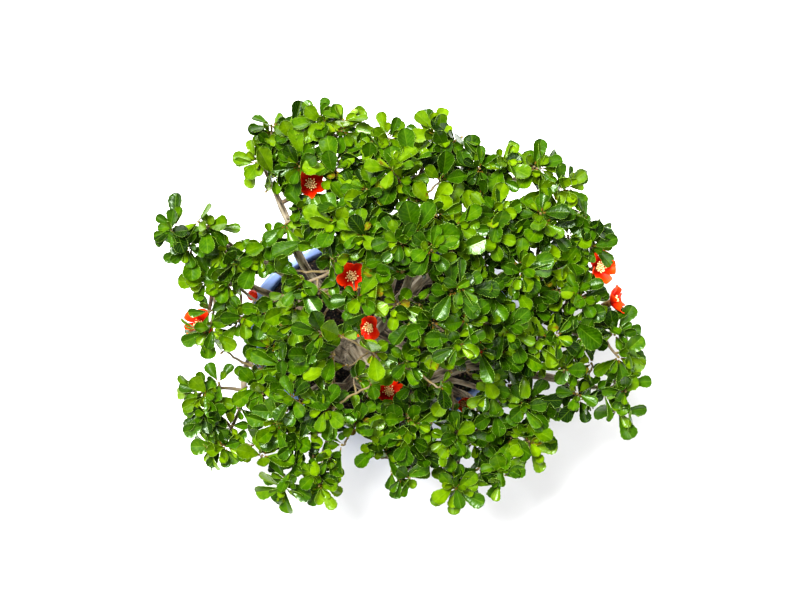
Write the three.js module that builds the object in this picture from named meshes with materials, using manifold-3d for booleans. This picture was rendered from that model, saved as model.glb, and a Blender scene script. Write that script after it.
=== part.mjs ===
// A dwarf flowering quince trained as a clump in an oval glazed pot.
// Millimetres, +Z up. The origin is on the surface, below the middle of the plant's box.
import * as THREE from 'three';
import { mergeVertices } from 'three/addons/utils/BufferGeometryUtils.js';
import Module from 'manifold-3d';

const wasm = await Module();
wasm.setup();

const { cos, sin, PI, sqrt, max, min, round, hypot, exp } = Math;
const UP = new THREE.Vector3(0, 0, 1);
const at = (x, y, z) => new THREE.Vector3(x, y, z);

// Driving dimensions.
const SEAT_GAP = 0.3;
const BOX_SHIFT = [-3, 5.2];
const POT = { halfLength: 110.5, halfDepth: 80, height: 56, foot: 8, floor: 7, rim: 8, x: -14, y: -20 };
const SOIL = { edge: 50, mound: 10, spread: 48 };
const CLUMP = { x: -30, y: -38, foot: 32 };
const EYE_HEIGHT = 1100;
const LEAF = { length: 17.5, thick: 0.7, hub: 1.75, hubThick: 1.9 };
const STEM = { first: 1.5, fork: 1.2, thinning: 0.4, spur: 0.85, short: 30 };
const BLOOM = { petals: 5, hub: 3.2, hubThick: 1.8, thick: 0.9, calyx: 6, length: 9.6, width: 10.4 };
const BLOOM_KINDS = {
  open: { size: 1, rise: 0.35, stamens: 6 },
  cup: { size: 0.8, rise: 0.95, stamens: 6 },
  spent: { size: 0.35, rise: 0.7, stamens: 8 },
};
const BUD = { neck: 1.5, cup: 3.1, radius: 4.2, lift: 1.5 };
const SEEDS = { sprays: 101, blooms: 900 };
const POT_SIDES = 32;
const TAU = 2 * PI;

// Finishes.
const finish = (color, roughness) => new THREE.MeshStandardMaterial({ color, roughness, metalness: 0 });
const finishes = {
  glaze: () => finish(0x8296c0, 0.25),
  soil: () => finish(0x2a2420, 0.95),
  bark: () => finish(0x8d8072, 0.9),
  leaf: () => finish(0x4f7f16, 0.45),
  petal: () => finish(0xd83a12, 0.5),
};

// The limbs: radius at both ends, points along the way, and the limb that it forks from.
const LIMBS = {
  left: { radii: [9, 2], route: [[-51, -37, 66], [-84, -2, 84], [-107, 11, 94], [-125, 17, 102],
    [-144, 13, 110]] },
  back: { radii: [9.5, 2.2], route: [[-36, -22, 84], [-30, 16, 128], [-36, 57, 154], [-35, 86, 166],
    [-41, 104, 171]] },
  crown: { radii: [11, 2.6], route: [[-24, -30, 90], [-13, -8, 132], [2, 8, 172], [8, 24, 200]] },
  upper_right: { radii: [10, 2.6], route: [[-8, -27, 80], [6, 1, 104], [7, 15, 117], [22, 21, 123],
    [52, 16, 138], [85, 14, 148], [108, 24, 153], [121, 33, 156]] },
  lower_right: { radii: [10, 2.3], route: [[-9, -47, 70], [14, -58, 88], [36, -51, 101], [61, -45, 111],
    [92, -51, 119], [122, -56, 124], [149, -62, 128]] },
  front_left: { radii: [7.5, 2], route: [[-34, -55, 70], [-44, -65, 86], [-48, -81, 102], [-51, -95, 115],
    [-57, -110, 124], [-58, -121, 127]] },
  upper_left: { from: ['left', 0.7], radii: [5.5, 2.1], route: [[-78, 14, 101], [-98, 30, 116],
    [-116, 36, 125], [-138, 47, 131], [-158, 48, 136]] },
  lower_left: { from: ['left', 0.2], radii: [5.5, 2], route: [[-86, -46, 73], [-112, -40, 82],
    [-121, -49, 86], [-122, -66, 92], [-124, -81, 97]] },
  back_left: { from: ['back', 0.4], radii: [6, 2.2], route: [[-62, 16, 118], [-77, 40, 131], [-82, 60, 143],
    [-88, 75, 150], [-95, 92, 157]] },
  crown_left: { from: ['back', 0.7], radii: [5.5, 2.4], route: [[-49, 10, 142], [-47, 30, 164],
    [-43, 39, 176]] },
  back_middle: { from: ['crown', 0.7], radii: [6, 2], route: [[-6, 18, 140], [5, 53, 166], [9, 81, 175],
    [8, 107, 181]] },
  back_right: { from: ['crown', 0.4], radii: [7, 2.4], route: [[18, 20, 130], [47, 47, 155], [62, 66, 165],
    [72, 84, 169], [86, 92, 171]] },
  crown_front: { from: ['crown', 0.5], radii: [5.5, 2.4], route: [[2, -30, 134], [12, -27, 160],
    [24, -21, 184]] },
  right: { from: ['upper_right', 0.3], radii: [7, 2.4], route: [[37, -22, 110], [74, -5, 130], [98, -9, 137],
    [116, -13, 141], [136, -24, 145]] },
  front_right: { from: ['lower_right', 0.3], radii: [6.5, 2.1], route: [[24, -66, 76], [50, -70, 84],
    [66, -84, 96], [78, -99, 108]] },
  front_middle: { from: ['front_right', 1.1], radii: [3.4, 1.9], route: [[49, -96, 97], [44, -122, 106]] },
  front: { from: ['front_left', 0.3], radii: [5, 1.9], route: [[-20, -73, 86], [-9, -90, 102],
    [-5, -107, 114]] },
  low_front: { from: ['front_left', 0.9], radii: [4, 2], route: [[-62, -62, 104], [-71, -67, 120]] },
};

// Every leafy spray: its limb, how far along the limb's points it stands, and its tips.
const SPRAYS = {
  far_left: ['upper_left', 4, [[-165, 58, 148], [-155, 43, 142]]],
  left_knee: ['upper_left', 2.2, [[-142, 58, 150], [-130, 38, 142]]],
  left_inner: ['upper_left', 1, [[-95, 46, 150], [-106, 34, 144]]],
  left_low: ['left', 3.8, [[-146, 18, 124], [-145, -19, 120]]],
  left_middle: ['left', 2.4, [[-129, 19, 132], [-122, -12, 124], [-101, -2, 128]]],
  back_left_a: ['back_left', 4, [[-99, 105, 170], [-92, 123, 174]]],
  back_left_b: ['back_left', 3.4, [[-76, 123, 180], [-69, 103, 184]]],
  back_left_c: ['back_left', 2.3, [[-68, 67, 178], [-83, 59, 162]]],
  back_a: ['back', 4, [[-57, 132, 184], [-41, 123, 188]]],
  back_b: ['back', 2.6, [[-46, 95, 192], [-19, 76, 202]]],
  back_middle_a: ['back_middle', 3, [[-10, 119, 190], [-19, 106, 188]]],
  back_middle_b: ['back_middle', 2, [[25, 122, 190], [39, 116, 190]]],
  back_middle_c: ['back_middle', 1.5, [[-2, 88, 202], [21, 69, 208]]],
  back_right_a: ['back_right', 2.5, [[71, 100, 186], [51, 98, 188]]],
  back_right_b: ['back_right', 4, [[95, 98, 184], [115, 84, 178]]],
  back_right_c: ['back_right', 1.8, [[63, 65, 198], [38, 55, 208]]],
  upper_right_a: ['upper_right', 6.6, [[134, 60, 170], [139, 43, 164]]],
  upper_right_b: ['upper_right', 5.9, [[102, 59, 186]]],
  upper_right_c: ['upper_right', 4.7, [[84, 28, 190], [59, 9, 198]]],
  right_a: ['right', 3.9, [[160, -19, 148], [161, -38, 146]]],
  right_b: ['right', 3, [[130, 5, 168]]],
  right_c: ['right', 1.8, [[106, -23, 172], [74, -17, 188]]],
  lower_right_a: ['lower_right', 5.9, [[168, -58, 140], [163, -79, 130]]],
  lower_right_b: ['lower_right', 5, [[133, -70, 136]]],
  lower_right_c: ['lower_right', 3.6, [[96, -70, 146], [63, -59, 152]]],
  front_right_a: ['front_right', 2.9, [[97, -107, 132], [77, -128, 128]]],
  front_right_b: ['front_middle', 0.8, [[42, -139, 124]]],
  front_right_c: ['front_right', 2.3, [[40, -97, 142]]],
  front_a: ['front', 1.9, [[1, -129, 130], [-18, -105, 138]]],
  front_b: ['front', 0.8, [[6, -83, 142]]],
  front_left_a: ['front_left', 4.9, [[-85, -131, 132], [-58, -132, 130]]],
  front_left_b: ['front_left', 3, [[-81, -97, 136]]],
  front_left_c: ['front_left', 2, [[-33, -89, 140]]],
  lower_left_a: ['lower_left', 3.9, [[-136, -107, 114], [-149, -80, 116]]],
  lower_left_b: ['lower_left', 3, [[-149, -65, 118]]],
  lower_left_c: ['lower_left', 1.4, [[-107, -62, 124]]],
  low_front_a: ['low_front', 0.9, [[-74, -72, 148], [-50, -76, 146]]],
  crown_a: ['crown', 2.9, [[21, 37, 238], [-1, 45, 236]]],
  crown_b: ['crown', 2, [[35, 10, 228], [-29, 5, 206]]],
  crown_front_a: ['crown_front', 1.9, [[38, -22, 214]]],
  crown_front_b: ['crown_front', 1.1, [[1, -43, 188]]],
  crown_left_a: ['crown_left', 1.9, [[-44, 58, 206], [-22, 45, 218]]],
  crown_left_b: ['crown_left', 0.8, [[-71, 15, 176]]],
};

// The blooms: kind, limb, place along it, the middle of the bloom and the way it faces.
const BLOOMS = {
  bloom_back_left: ['open', 'back_left', 3, [-65, 87, 162], [0.1, 0.1, 1]],
  bloom_crown_left: ['open', 'crown_left', 1.4, [-35, 21, 182], [0.2, -0.1, 1]],
  bloom_crown: ['open', 'crown', 1.2, [-21, -15, 152], [-0.5, -0.3, 0.9]],
  bloom_upper_right: ['open', 'upper_right', 7, [143, 27, 158], [0.5, 0.1, 0.8]],
  bloom_right: ['open', 'right', 4, [155, 2, 147], [0.9, 0.2, 0.3]],
  bloom_front: ['open', 'front', 0, [-9, -66, 112], [0.1, 0.2, 1]],
  bloom_left: ['open', 'left', 4, [-153, -14, 102], [-0.3, -0.2, 0.9]],
  bloom_low_right: ['cup', 'front_right', 1, [49, -75, 101], [0, -0.2, 1]],
  bloom_back_right: ['cup', 'back_right', 1.2, [53, 34, 152], [0.2, -0.3, 0.9]],
  bloom_middle_right: ['cup', 'right', 1, [66, -29, 142], [-0.2, -0.3, 0.9]],
  bud_left: ['bud', 'left', 2.4, [-113, 8, 108], [0, -0.2, 1]],
  bud_inner_left: ['bud', 'left', 1, [-70, -4, 108], [0.1, 0, 1]],
  bud_front: ['bud', 'front_middle', 1, [51, -141, 119], [0, -0.4, 0.8]],
  spent_bloom: ['spent', 'left', 1.5, [-98, -17, 101], [0, -0.1, 1]],
};

// A stream of draws from 0 to 1 that is the same each time for the same seed.
function drawsFrom(seed) {
  let state = seed >>> 0;
  return () => {
    state = (state + 0x6d2b79f5) >>> 0;
    let mixed = Math.imul(state ^ (state >>> 15), state | 1);
    mixed ^= mixed + Math.imul(mixed ^ (mixed >>> 7), mixed | 61);
    return ((mixed ^ (mixed >>> 14)) >>> 0) / 4294967296;
  };
}

// Solids in and out of three.js geometry.
function solidOf(geometry) {
  geometry.deleteAttribute('normal');
  geometry.deleteAttribute('uv');
  const merged = mergeVertices(geometry.index ? geometry.toNonIndexed() : geometry, 1e-4);
  return new wasm.Manifold(new wasm.Mesh({
    numProp: 3,
    vertProperties: new Float32Array(merged.attributes.position.array),
    triVerts: new Uint32Array(merged.index.array),
  }));
}

function meshOf(name, solid, material) {
  const result = solid.getMesh();
  const geometry = new THREE.BufferGeometry();
  geometry.setAttribute('position', new THREE.BufferAttribute(new Float32Array(result.vertProperties), 3));
  geometry.setIndex(new THREE.BufferAttribute(new Uint32Array(result.triVerts), 1));
  const mesh = new THREE.Mesh(geometry, material);
  mesh.name = name;
  return mesh;
}

const joined = (solids) => solids.reduce((whole, solid) => whole.add(solid));

// A round rod bent along a curve, with its radius given along the way.
function rod(curve, radiusAt, sides, steps, beyond = 0) {
  const corners = [...Array(sides).keys()].map((i) => (
    new THREE.Vector2(cos((TAU * i) / sides), sin((TAU * i) / sides))
  ));
  const geometry = new THREE.ExtrudeGeometry(new THREE.Shape(corners), {
    depth: 1, steps, bevelEnabled: false,
  });
  const frames = curve.computeFrenetFrames(steps, false);
  const position = geometry.attributes.position;
  for (let i = 0; i < position.count; i += 1) {
    const ring = round(position.getZ(i) * steps);
    const radius = radiusAt(ring / steps);
    const point = curve.getPointAt(ring / steps)
      .addScaledVector(frames.normals[ring], position.getX(i) * radius)
      .addScaledVector(frames.binormals[ring], position.getY(i) * radius)
      .addScaledVector(frames.tangents[ring], ring === steps ? beyond : 0);
    position.setXYZ(i, point.x, point.y, point.z);
  }
  return solidOf(geometry);
}

const smoothCurve = (points) => new THREE.CatmullRomCurve3(points, false, 'catmullrom', 0.5);
const taper = ([from, to]) => (t) => from + (to - from) * sqrt(t);

// A lathe's round outline made oval: the same wall thickness all round.
function oval(profile, halfLength, halfDepth) {
  const geometry = new THREE.LatheGeometry(profile.map(([r, z]) => new THREE.Vector2(r, z)), POT_SIDES);
  geometry.rotateX(PI / 2);
  const position = geometry.attributes.position;
  for (let i = 0; i < position.count; i += 1) {
    const x = position.getX(i);
    const y = position.getY(i);
    const radius = hypot(x, y);
    const narrowed = radius > 1 ? (radius - halfLength + halfDepth) / radius : 1;
    position.setXYZ(i, x + POT.x, y * narrowed + POT.y, position.getZ(i));
  }
  return geometry;
}

// The pot: one glazed shell with a rolled lip and four low feet.
const FEET = {
  degrees: [35, 145, 215, 325],
  inwards: [29, 27],
  outline: [[-17, -3], [-13, -6], [13, -6], [17, -3], [15, 4], [8, 6], [-8, 6], [-15, 4]],
};

function makePot() {
  const { halfLength, halfDepth, height, foot, floor, rim } = POT;
  const shell = solidOf(oval([
    [0, foot], [halfLength - 20, foot], [halfLength - 9, foot + 20], [halfLength - 5, height - 9.5],
    [halfLength, height - 6.5], [halfLength, height - 1.5], [halfLength - 2, height],
    [halfLength - rim, height], [halfLength - rim - 2, height - 5], [halfLength - 15, foot + 18],
    [halfLength - 24, foot + floor], [0, foot + floor],
  ], halfLength, halfDepth));
  const long = halfLength - FEET.inwards[0];
  const short = halfDepth - FEET.inwards[1];
  const outline = new THREE.Shape(FEET.outline.map(([x, y]) => new THREE.Vector2(x, y)));
  const feet = FEET.degrees.map((degrees) => {
    const angle = (degrees * PI) / 180;
    const block = new THREE.ExtrudeGeometry(outline, { depth: foot + 2, bevelEnabled: false });
    block.rotateZ(Math.atan2(-short * cos(angle), long * sin(angle)));
    block.translate(POT.x + long * cos(angle), POT.y + short * sin(angle), 0);
    return solidOf(block);
  });
  return joined([shell, ...feet]);
}

// The soil fills the pot, with a low mound round the clump and grains raised on it.
function soilHeight(x, y) {
  const away = hypot(x - CLUMP.x, y - CLUMP.y) / SOIL.spread;
  return SOIL.edge + SOIL.mound * exp(-away * away);
}

function makeSoil(clump) {
  const { halfLength, halfDepth, foot, floor, rim } = POT;
  const wall = halfLength - rim - 2 - SEAT_GAP;
  const base = foot + floor + SEAT_GAP;
  const geometry = oval([
    [0, base], [halfLength - 24 - 2 * SEAT_GAP, base], [halfLength - 15 - 2 * SEAT_GAP, foot + 18],
    [wall - 0.9, SOIL.edge], [wall * 0.72, SOIL.edge + 1], [wall * 0.47, SOIL.edge + 1],
    [0, SOIL.edge + 1],
  ], halfLength, halfDepth);
  const position = geometry.attributes.position;
  for (let i = 0; i < position.count; i += 1) {
    if (position.getZ(i) > SOIL.edge) {
      const x = position.getX(i);
      const y = position.getY(i);
      const grain = 0.9 * sin(x * 0.31) * cos(y * 0.27);
      position.setZ(i, soilHeight(x, y) + grain);
    }
  }
  return solidOf(geometry).subtract(clump);
}

// The clump: a gnarled foot, surface roots and every limb, grown as one piece.
const heart = (z) => at(CLUMP.x, CLUMP.y, z);
const limbCurves = {};

// A limb's place counts its own points from 0, and a fork starts one point before them.
function limbPoint(name, place) {
  const curve = limbCurves[name];
  return curve.getPoint(min(1, (place + 1) / (curve.points.length - 1)));
}

Object.entries(LIMBS).forEach(([name, { from, route }]) => {
  const start = from ? limbPoint(...from) : heart(route[0][2] - 14);
  limbCurves[name] = smoothCurve([start, ...route.map((point) => at(...point))]);
});

const FOOT_RADII = [18, 20, 22, 19, 16, 12];
const FOOT_KNOBS = [0, 2.4, -1.6, 1.8, -2.2, 0.8, 2.6, -1.4, 1.2, -2];
const FOOT_WIDE = 1.1;
const FOOT_DEEP = 0.85;

function footSolid(extra) {
  const curve = smoothCurve([heart(CLUMP.foot), heart(52), at(-29, -38, 70), at(-28, -36, 94)]);
  const steps = FOOT_RADII.length - 1;
  const sides = FOOT_KNOBS.length;
  const corners = [...Array(sides).keys()].map((i) => (
    new THREE.Vector2(cos((TAU * i) / sides), sin((TAU * i) / sides))
  ));
  const geometry = new THREE.ExtrudeGeometry(new THREE.Shape(corners), {
    depth: 1, steps, bevelEnabled: false,
  });
  const position = geometry.attributes.position;
  for (let i = 0; i < position.count; i += 1) {
    const ring = round(position.getZ(i) * steps);
    const turn = Math.atan2(position.getY(i), position.getX(i));
    const side = (round((turn / TAU) * sides) + sides) % sides;
    const radius = FOOT_RADII[ring] + (ring > 1 ? FOOT_KNOBS[(side + ring) % sides] : 0) + extra;
    const middle = curve.getPoint(ring / steps);
    position.setXYZ(
      i,
      middle.x + cos(turn) * radius * FOOT_WIDE,
      middle.y + sin(turn) * radius * FOOT_DEEP,
      middle.z + (ring === 0 ? -extra : 0) + (ring === steps ? extra : 0),
    );
  }
  return solidOf(geometry);
}

const ROOTS = [
  { way: 20, reach: 38, thick: 6 }, { way: 150, reach: 38, thick: 5.5 }, { way: 265, reach: 36, thick: 5.5 },
];

function rootSolid({ way, reach, thick }, extra) {
  const angle = (way * PI) / 180;
  const point = (share, lift) => {
    const x = CLUMP.x + cos(angle + share * 0.3) * reach * share * 1.1;
    const y = CLUMP.y + sin(angle + share * 0.3) * reach * share * 0.9;
    return at(x, y, soilHeight(x, y) + lift);
  };
  const curve = smoothCurve([point(0.2, 10), point(0.55, 3), point(0.8, -1.5), point(1.05, -7)]);
  return rod(curve, (t) => thick * (1 - 0.72 * t) + extra, 5, 3);
}

function limbSolid(name, extra) {
  const { radii, route } = LIMBS[name];
  const radiusAt = taper(radii);
  return rod(limbCurves[name], (t) => radiusAt(t) + extra, 5, max(3, route.length), extra);
}

// The blooms' own spurs belong to the wood, and stop just short of the bloom.
function bloomFrame([kind, limb, place, middle, facing]) {
  const axis = at(...facing).normalize();
  const centre = at(...middle);
  const base = centre.clone().addScaledVector(axis, -BLOOM.calyx);
  return { kind, axis, centre, base, foot: limbPoint(limb, place) };
}

function spurSolid(row, extra) {
  const { axis, base, foot } = bloomFrame(row);
  const end = base.clone().addScaledVector(axis, -SEAT_GAP);
  const bend = end.clone().addScaledVector(axis, -0.4 * foot.distanceTo(end));
  return rod(smoothCurve([foot, bend, end]), (t) => 1.8 - 0.5 * t + extra, 3, 2);
}

// A whorl: leaves or petals standing out from a small hub, all one closed blade.
// An outline gives how far along and how wide, from the hub out, and whether it ends in a tip.
const OUTLINES = {
  large: { tip: true, shape: [[0.34, 0.62], [0.68, 1], [0.91, 0.66]] },
  middle: { tip: true, shape: [[0.42, 0.76], [0.82, 0.94]] },
  small: { tip: false, shape: [[0.6, 1], [1, 0.46]] },
  petal: { tip: true, shape: [[0.46, 0.96], [0.86, 0.84]] },
};

// No blade is wider than its own share of the round, so two neighbours never meet.
const NEIGHBOUR_GAP = 0.3;

function widthOf(hub, { outline, length, width, rise, swing, roll, fold, droop }) {
  const spread = Math.tan(Math.PI / hub.slots - Math.abs(swing));
  const inwards = sin(rise) * spread;
  const room = OUTLINES[outline].shape.map(([u, v]) => {
    const reach = hub.radius + u * length * cos(rise) + droop * u * u * length * sin(rise);
    return (2 * (reach * spread - NEIGHBOUR_GAP)) / (v * (1 + (fold + Math.abs(roll)) * inwards));
  });
  return Math.min(width, ...room);
}

function blade(hub, slot) {
  const { origin, axis, aside, across } = hub;
  const angle = hub.spin + (TAU * (slot.place + 0.5)) / hub.slots;
  const flat = aside.clone().multiplyScalar(cos(angle)).addScaledVector(across, sin(angle));
  const along = flat.clone().multiplyScalar(cos(slot.rise)).addScaledVector(axis, sin(slot.rise));
  const side = new THREE.Vector3().crossVectors(axis, flat).normalize();
  side.applyAxisAngle(along, slot.roll);
  const face = new THREE.Vector3().crossVectors(along, side).normalize();
  const turned = (v) => v.clone().applyAxisAngle(axis, slot.swing);
  const start = origin.clone().addScaledVector(flat, hub.radius);
  const way = turned(along);
  const edge = turned(side);
  const normal = turned(face);
  const half = widthOf(hub, slot) * 0.5;
  const lift = (u, v) => Math.abs(v) * half * slot.fold - slot.droop * u * u * slot.length;
  const point = (u, v) => start.clone()
    .addScaledVector(way, u * slot.length)
    .addScaledVector(edge, v * half)
    .addScaledVector(normal, lift(u, v));
  const { tip, shape } = OUTLINES[slot.outline];
  const rim = [
    ...shape.map(([u, v]) => point(u, -v)),
    ...(tip ? [point(1, 0)] : []),
    ...shape.toReversed().map(([u, v]) => point(u, v)),
  ];
  return { rim, normal, tip };
}

// The triangles of a blade's face, folded along its rib, over a rim of the given count.
function bladeFaces(count, tip) {
  const last = count - 1;
  const half = Math.floor(last / 2);
  const rib = tip ? [[half, last, 0]] : [[0, half, half + 1], [0, half + 1, last]];
  const far = tip ? half : half + 1;
  const right = [...Array(half - 1).keys()].map((k) => [half, k, k + 1]);
  const left = [...Array(last - far - 1).keys()].map((k) => [far, far + k + 1, far + k + 2]);
  return [...rib, ...right, ...left];
}

function whorlSolid(hub, blades) {
  const { origin, axis, aside, across, slots, spin, radius } = hub;
  const points = [];
  const faces = [];
  const add = (point) => points.push(point) - 1;
  const corner = (i, drop) => add(origin.clone()
    .addScaledVector(aside, radius * cos(spin + (TAU * i) / slots))
    .addScaledVector(across, radius * sin(spin + (TAU * i) / slots))
    .addScaledVector(axis, -drop));
  const upper = [...Array(slots).keys()].map((i) => corner(i, 0));
  const lower = [...Array(slots).keys()].map((i) => corner(i, hub.thick));
  const close = (ring, height) => {
    if (height === 0) {
      return [...Array(slots - 2).keys()].map((i) => [ring[0], ring[i + 1], ring[i + 2]]);
    }
    const point = add(origin.clone().addScaledVector(axis, height));
    return ring.map((corner, i) => [point, corner, ring[(i + 1) % slots]]);
  };
  faces.push(...close(upper, hub.above));
  faces.push(...close(lower, -hub.below).map(([a, b, c]) => [a, c, b]));
  for (let i = 0; i < slots; i += 1) {
    const next = (i + 1) % slots;
    const leaf = blades[i];
    const tops = [upper[i], ...(leaf ? leaf.rim.map(add) : []), upper[next]];
    const under = (p) => add(p.clone().addScaledVector(leaf.normal, -hub.bladeThick));
    const unders = [lower[i], ...(leaf ? leaf.rim.map(under) : []), lower[next]];
    for (let k = 0; k < tops.length - 1; k += 1) {
      faces.push([tops[k], unders[k], unders[k + 1]], [tops[k], unders[k + 1], tops[k + 1]]);
    }
    if (leaf) {
      bladeFaces(tops.length, leaf.tip).forEach(([a, b, c]) => {
        faces.push([tops[a], tops[b], tops[c]], [unders[a], unders[c], unders[b]]);
      });
    }
  }
  const numbers = points.flatMap((p) => [p.x, p.y, p.z]);
  const geometry = new THREE.BufferGeometry();
  geometry.setAttribute('position', new THREE.Float32BufferAttribute(numbers, 3));
  geometry.setIndex(faces.flat());
  return solidOf(geometry);
}

// A hub of the given radius and thickness, with as many slots for blades round it as it has sides.
function hubAt(origin, axis, spin, slots, { radius, thick, bladeThick, above = 0, below = 0 }) {
  const level = Math.abs(axis.x) > 0.9 ? at(0, 1, 0) : at(1, 0, 0);
  const aside = new THREE.Vector3().crossVectors(level, axis).normalize();
  const across = new THREE.Vector3().crossVectors(axis, aside);
  return { origin, axis, aside, across, spin, slots, radius, thick, bladeThick, above, below };
}

// One bloom: five spoon petals, a calyx cup below and the stamens' column.
function makeBloom(name, row) {
  const { kind, axis, centre, base } = bloomFrame(row);
  if (kind === 'bud') {
    const cup = rod(new THREE.LineCurve3(base, centre), (t) => BUD.neck + (BUD.cup - BUD.neck) * t, 5, 1);
    const globe = new THREE.SphereGeometry(BUD.radius, 6, 4);
    globe.applyQuaternion(new THREE.Quaternion().setFromUnitVectors(at(0, 1, 0), axis));
    const middle = centre.clone().addScaledVector(axis, BUD.lift);
    globe.translate(middle.x, middle.y, middle.z);
    return cup.add(solidOf(globe));
  }
  const draw = drawsFrom(SEEDS.blooms + Object.keys(BLOOMS).indexOf(name));
  const { size, rise, stamens } = BLOOM_KINDS[kind];
  const hub = hubAt(centre, axis, draw() * TAU, BLOOM.petals, {
    radius: BLOOM.hub, thick: BLOOM.hubThick, bladeThick: BLOOM.thick, above: stamens, below: BLOOM.calyx,
  });
  const petals = [...Array(BLOOM.petals).keys()].map((place) => blade(hub, {
    place,
    outline: 'petal',
    length: (BLOOM.length + 1.6 * draw()) * size,
    width: (BLOOM.width + 1.2 * draw()) * size,
    rise: rise + 0.25 * (draw() - 0.5),
    roll: 0.2 * (draw() - 0.5),
    swing: 0.1 * (draw() - 0.5),
    fold: 0.34,
    droop: -0.12,
  }));
  return whorlSolid(hub, petals);
}

// A spray's stems: the first from its limb, the second forking from the first.
function stemsOf([limb, place, tips], draw) {
  const base = limbPoint(limb, place);
  const stems = [];
  tips.forEach((tip, i) => {
    const from = i === 0 ? base : stems[0].getPoint(0.45);
    const to = at(...tip);
    const length = from.distanceTo(to);
    const lean = at(draw() - 0.5, draw() - 0.5, 0).multiplyScalar(0.22 * length);
    const rise = to.clone().sub(from).normalize().multiplyScalar(0.5).add(UP).normalize();
    const low = from.clone().lerp(to, 0.4).add(lean).addScaledVector(UP, -0.1 * length);
    const high = to.clone().addScaledVector(rise, -0.26 * length);
    stems.push(smoothCurve([from, low, high, to]));
  });
  return stems;
}

// The rosettes of a spray: one at each tip, and one on each short spur along a stem.
const SPUR_STEP = 15;
const LEAVES_DRAWN = 8;
const GOLDEN_TURN = 2.39996;

function rosetteAt(end, upright, size, draw) {
  const spin = draw() * TAU;
  const slots = [...Array(LEAVES_DRAWN).keys()].map(() => ({
    swing: 0.36 * (draw() - 0.5),
    rise: 0.15 + 0.5 * draw(),
    length: LEAF.length * size * (0.76 + 0.4 * draw()),
    shape: 0.56 + 0.18 * draw(),
    roll: 0.5 * (draw() - 0.5),
    fold: 0.2 + 0.2 * draw(),
    droop: 0.05 + 0.2 * draw(),
  }));
  return { end, origin: end.clone().addScaledVector(upright, LEAF.hubThick * 0.5), upright, spin, slots };
}

function rosettesOf(stems, draw) {
  const rosettes = [];
  stems.forEach((stem) => {
    rosettes.push({ tip: true, stem, ...rosetteAt(stem.getPoint(1), stem.getTangent(1), 1, draw) });
    const count = max(1, round(stem.getLength() / SPUR_STEP));
    const start = draw() * TAU;
    for (let k = 0; k < count; k += 1) {
      const t = 0.3 + (0.6 * (k + 0.5)) / count;
      const from = stem.getPoint(t);
      const tangent = stem.getTangent(t);
      const aside = new THREE.Vector3().crossVectors(tangent, UP).normalize();
      const out = aside.applyAxisAngle(tangent, start + k * GOLDEN_TURN);
      const way = out.addScaledVector(tangent, 0.4).addScaledVector(UP, 1.1).normalize();
      const reach = 6 + 8 * draw();
      const to = from.clone().addScaledVector(way, reach);
      const size = 0.78 + 0.2 * draw();
      rosettes.push({ tip: false, rank: k, from, stem, ...rosetteAt(to, way, size, draw) });
    }
  });
  return rosettes;
}

const boxesApart = (a, b) => {
  const p = a.boundingBox();
  const q = b.boundingBox();
  return [0, 1, 2].some((i) => p.min[i] > q.max[i] || q.min[i] > p.max[i]);
};
const crosses = (a, b) => !boxesApart(a, b) && !a.intersect(b).isEmpty();

// Openings in the leaves, seen from straight above: middle on the surface plane, and radius.
const LOOKS_THROUGH = {
  over_bloom_back_left: [-76, 102, 12, 165],
  over_bloom_crown_left: [-42, 25, 12, 184],
  over_bloom_crown: [-25, -18, 13, 154],
  over_bloom_front: [-10, -74, 8, 114],
  over_bud_left: [-126, 9, 6, 116],
  over_bloom_left: [-167, -10, 7, 121],
  over_bloom_upper_right: [167, 31, 6, 160],
  over_clump: [-45, -40, 16, 70],
  over_rim_left: [-109, 19, 9, 60],
  over_rim_back_left: [-82, 38, 12, 60],
  over_soil: [-70, 25, 10, 60],
  over_low_right_wood: [55, -70, 16, 90],
  gap_back: [11, 79, 5, 60],
  gap_right: [180, -38, 5, 60],
};

function underOpening(points) {
  return Object.values(LOOKS_THROUGH).some(([x, y, radius, height]) => points.some((p) => {
    const shrink = 1 - p.z / EYE_HEIGHT;
    return p.z > height && hypot(p.x / shrink - x, p.y / shrink - y) < radius;
  }));
}

// Every leaf that stays clear of its neighbours is kept.
const CLEARANCE = 0.35;
const TIP_LEAVES = 5;
const SPUR_LEAVES = 5;
const LONG_STEM = 44;
const LARGE_LEAF = 19.6;
const MIDDLE_LEAF = 16.4;

const outlineFor = (length) => {
  if (length > LARGE_LEAF) {
    return 'large';
  }
  return length > MIDDLE_LEAF ? 'middle' : 'small';
};

function clearBlades(rosette, places, around) {
  const { origin, upright, spin, slots } = rosette;
  const room = 2 * CLEARANCE;
  const sizes = { radius: LEAF.hub, thick: LEAF.hubThick, bladeThick: LEAF.thick };
  const hub = hubAt(origin, upright, spin, places, sizes);
  const raised = origin.clone().addScaledVector(upright, CLEARANCE);
  const wide = hubAt(raised, upright, spin, places, { ...sizes, bladeThick: LEAF.thick + room });
  const blades = slots.slice(0, places).map((slot, place) => {
    const outline = outlineFor(slot.length);
    const width = slot.length * slot.shape;
    const leaf = blade(hub, { ...slot, place, outline, width });
    if (underOpening(leaf.rim)) {
      return undefined;
    }
    const lone = [...Array(places)];
    const larger = { length: slot.length + room, width: width + room };
    lone[place] = blade(wide, { ...slot, place, outline, ...larger });
    const probe = whorlSolid(wide, lone);
    return around.some((other) => crosses(probe, other)) ? undefined : leaf;
  });
  return { hub, blades, count: blades.filter(Boolean).length };
}

function stemSolid(stem, order) {
  const thick = order === 0 ? STEM.first : STEM.fork;
  return rod(stem, (t) => thick - STEM.thinning * t, 3, stem.getLength() < STEM.short ? 2 : 3);
}

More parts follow.
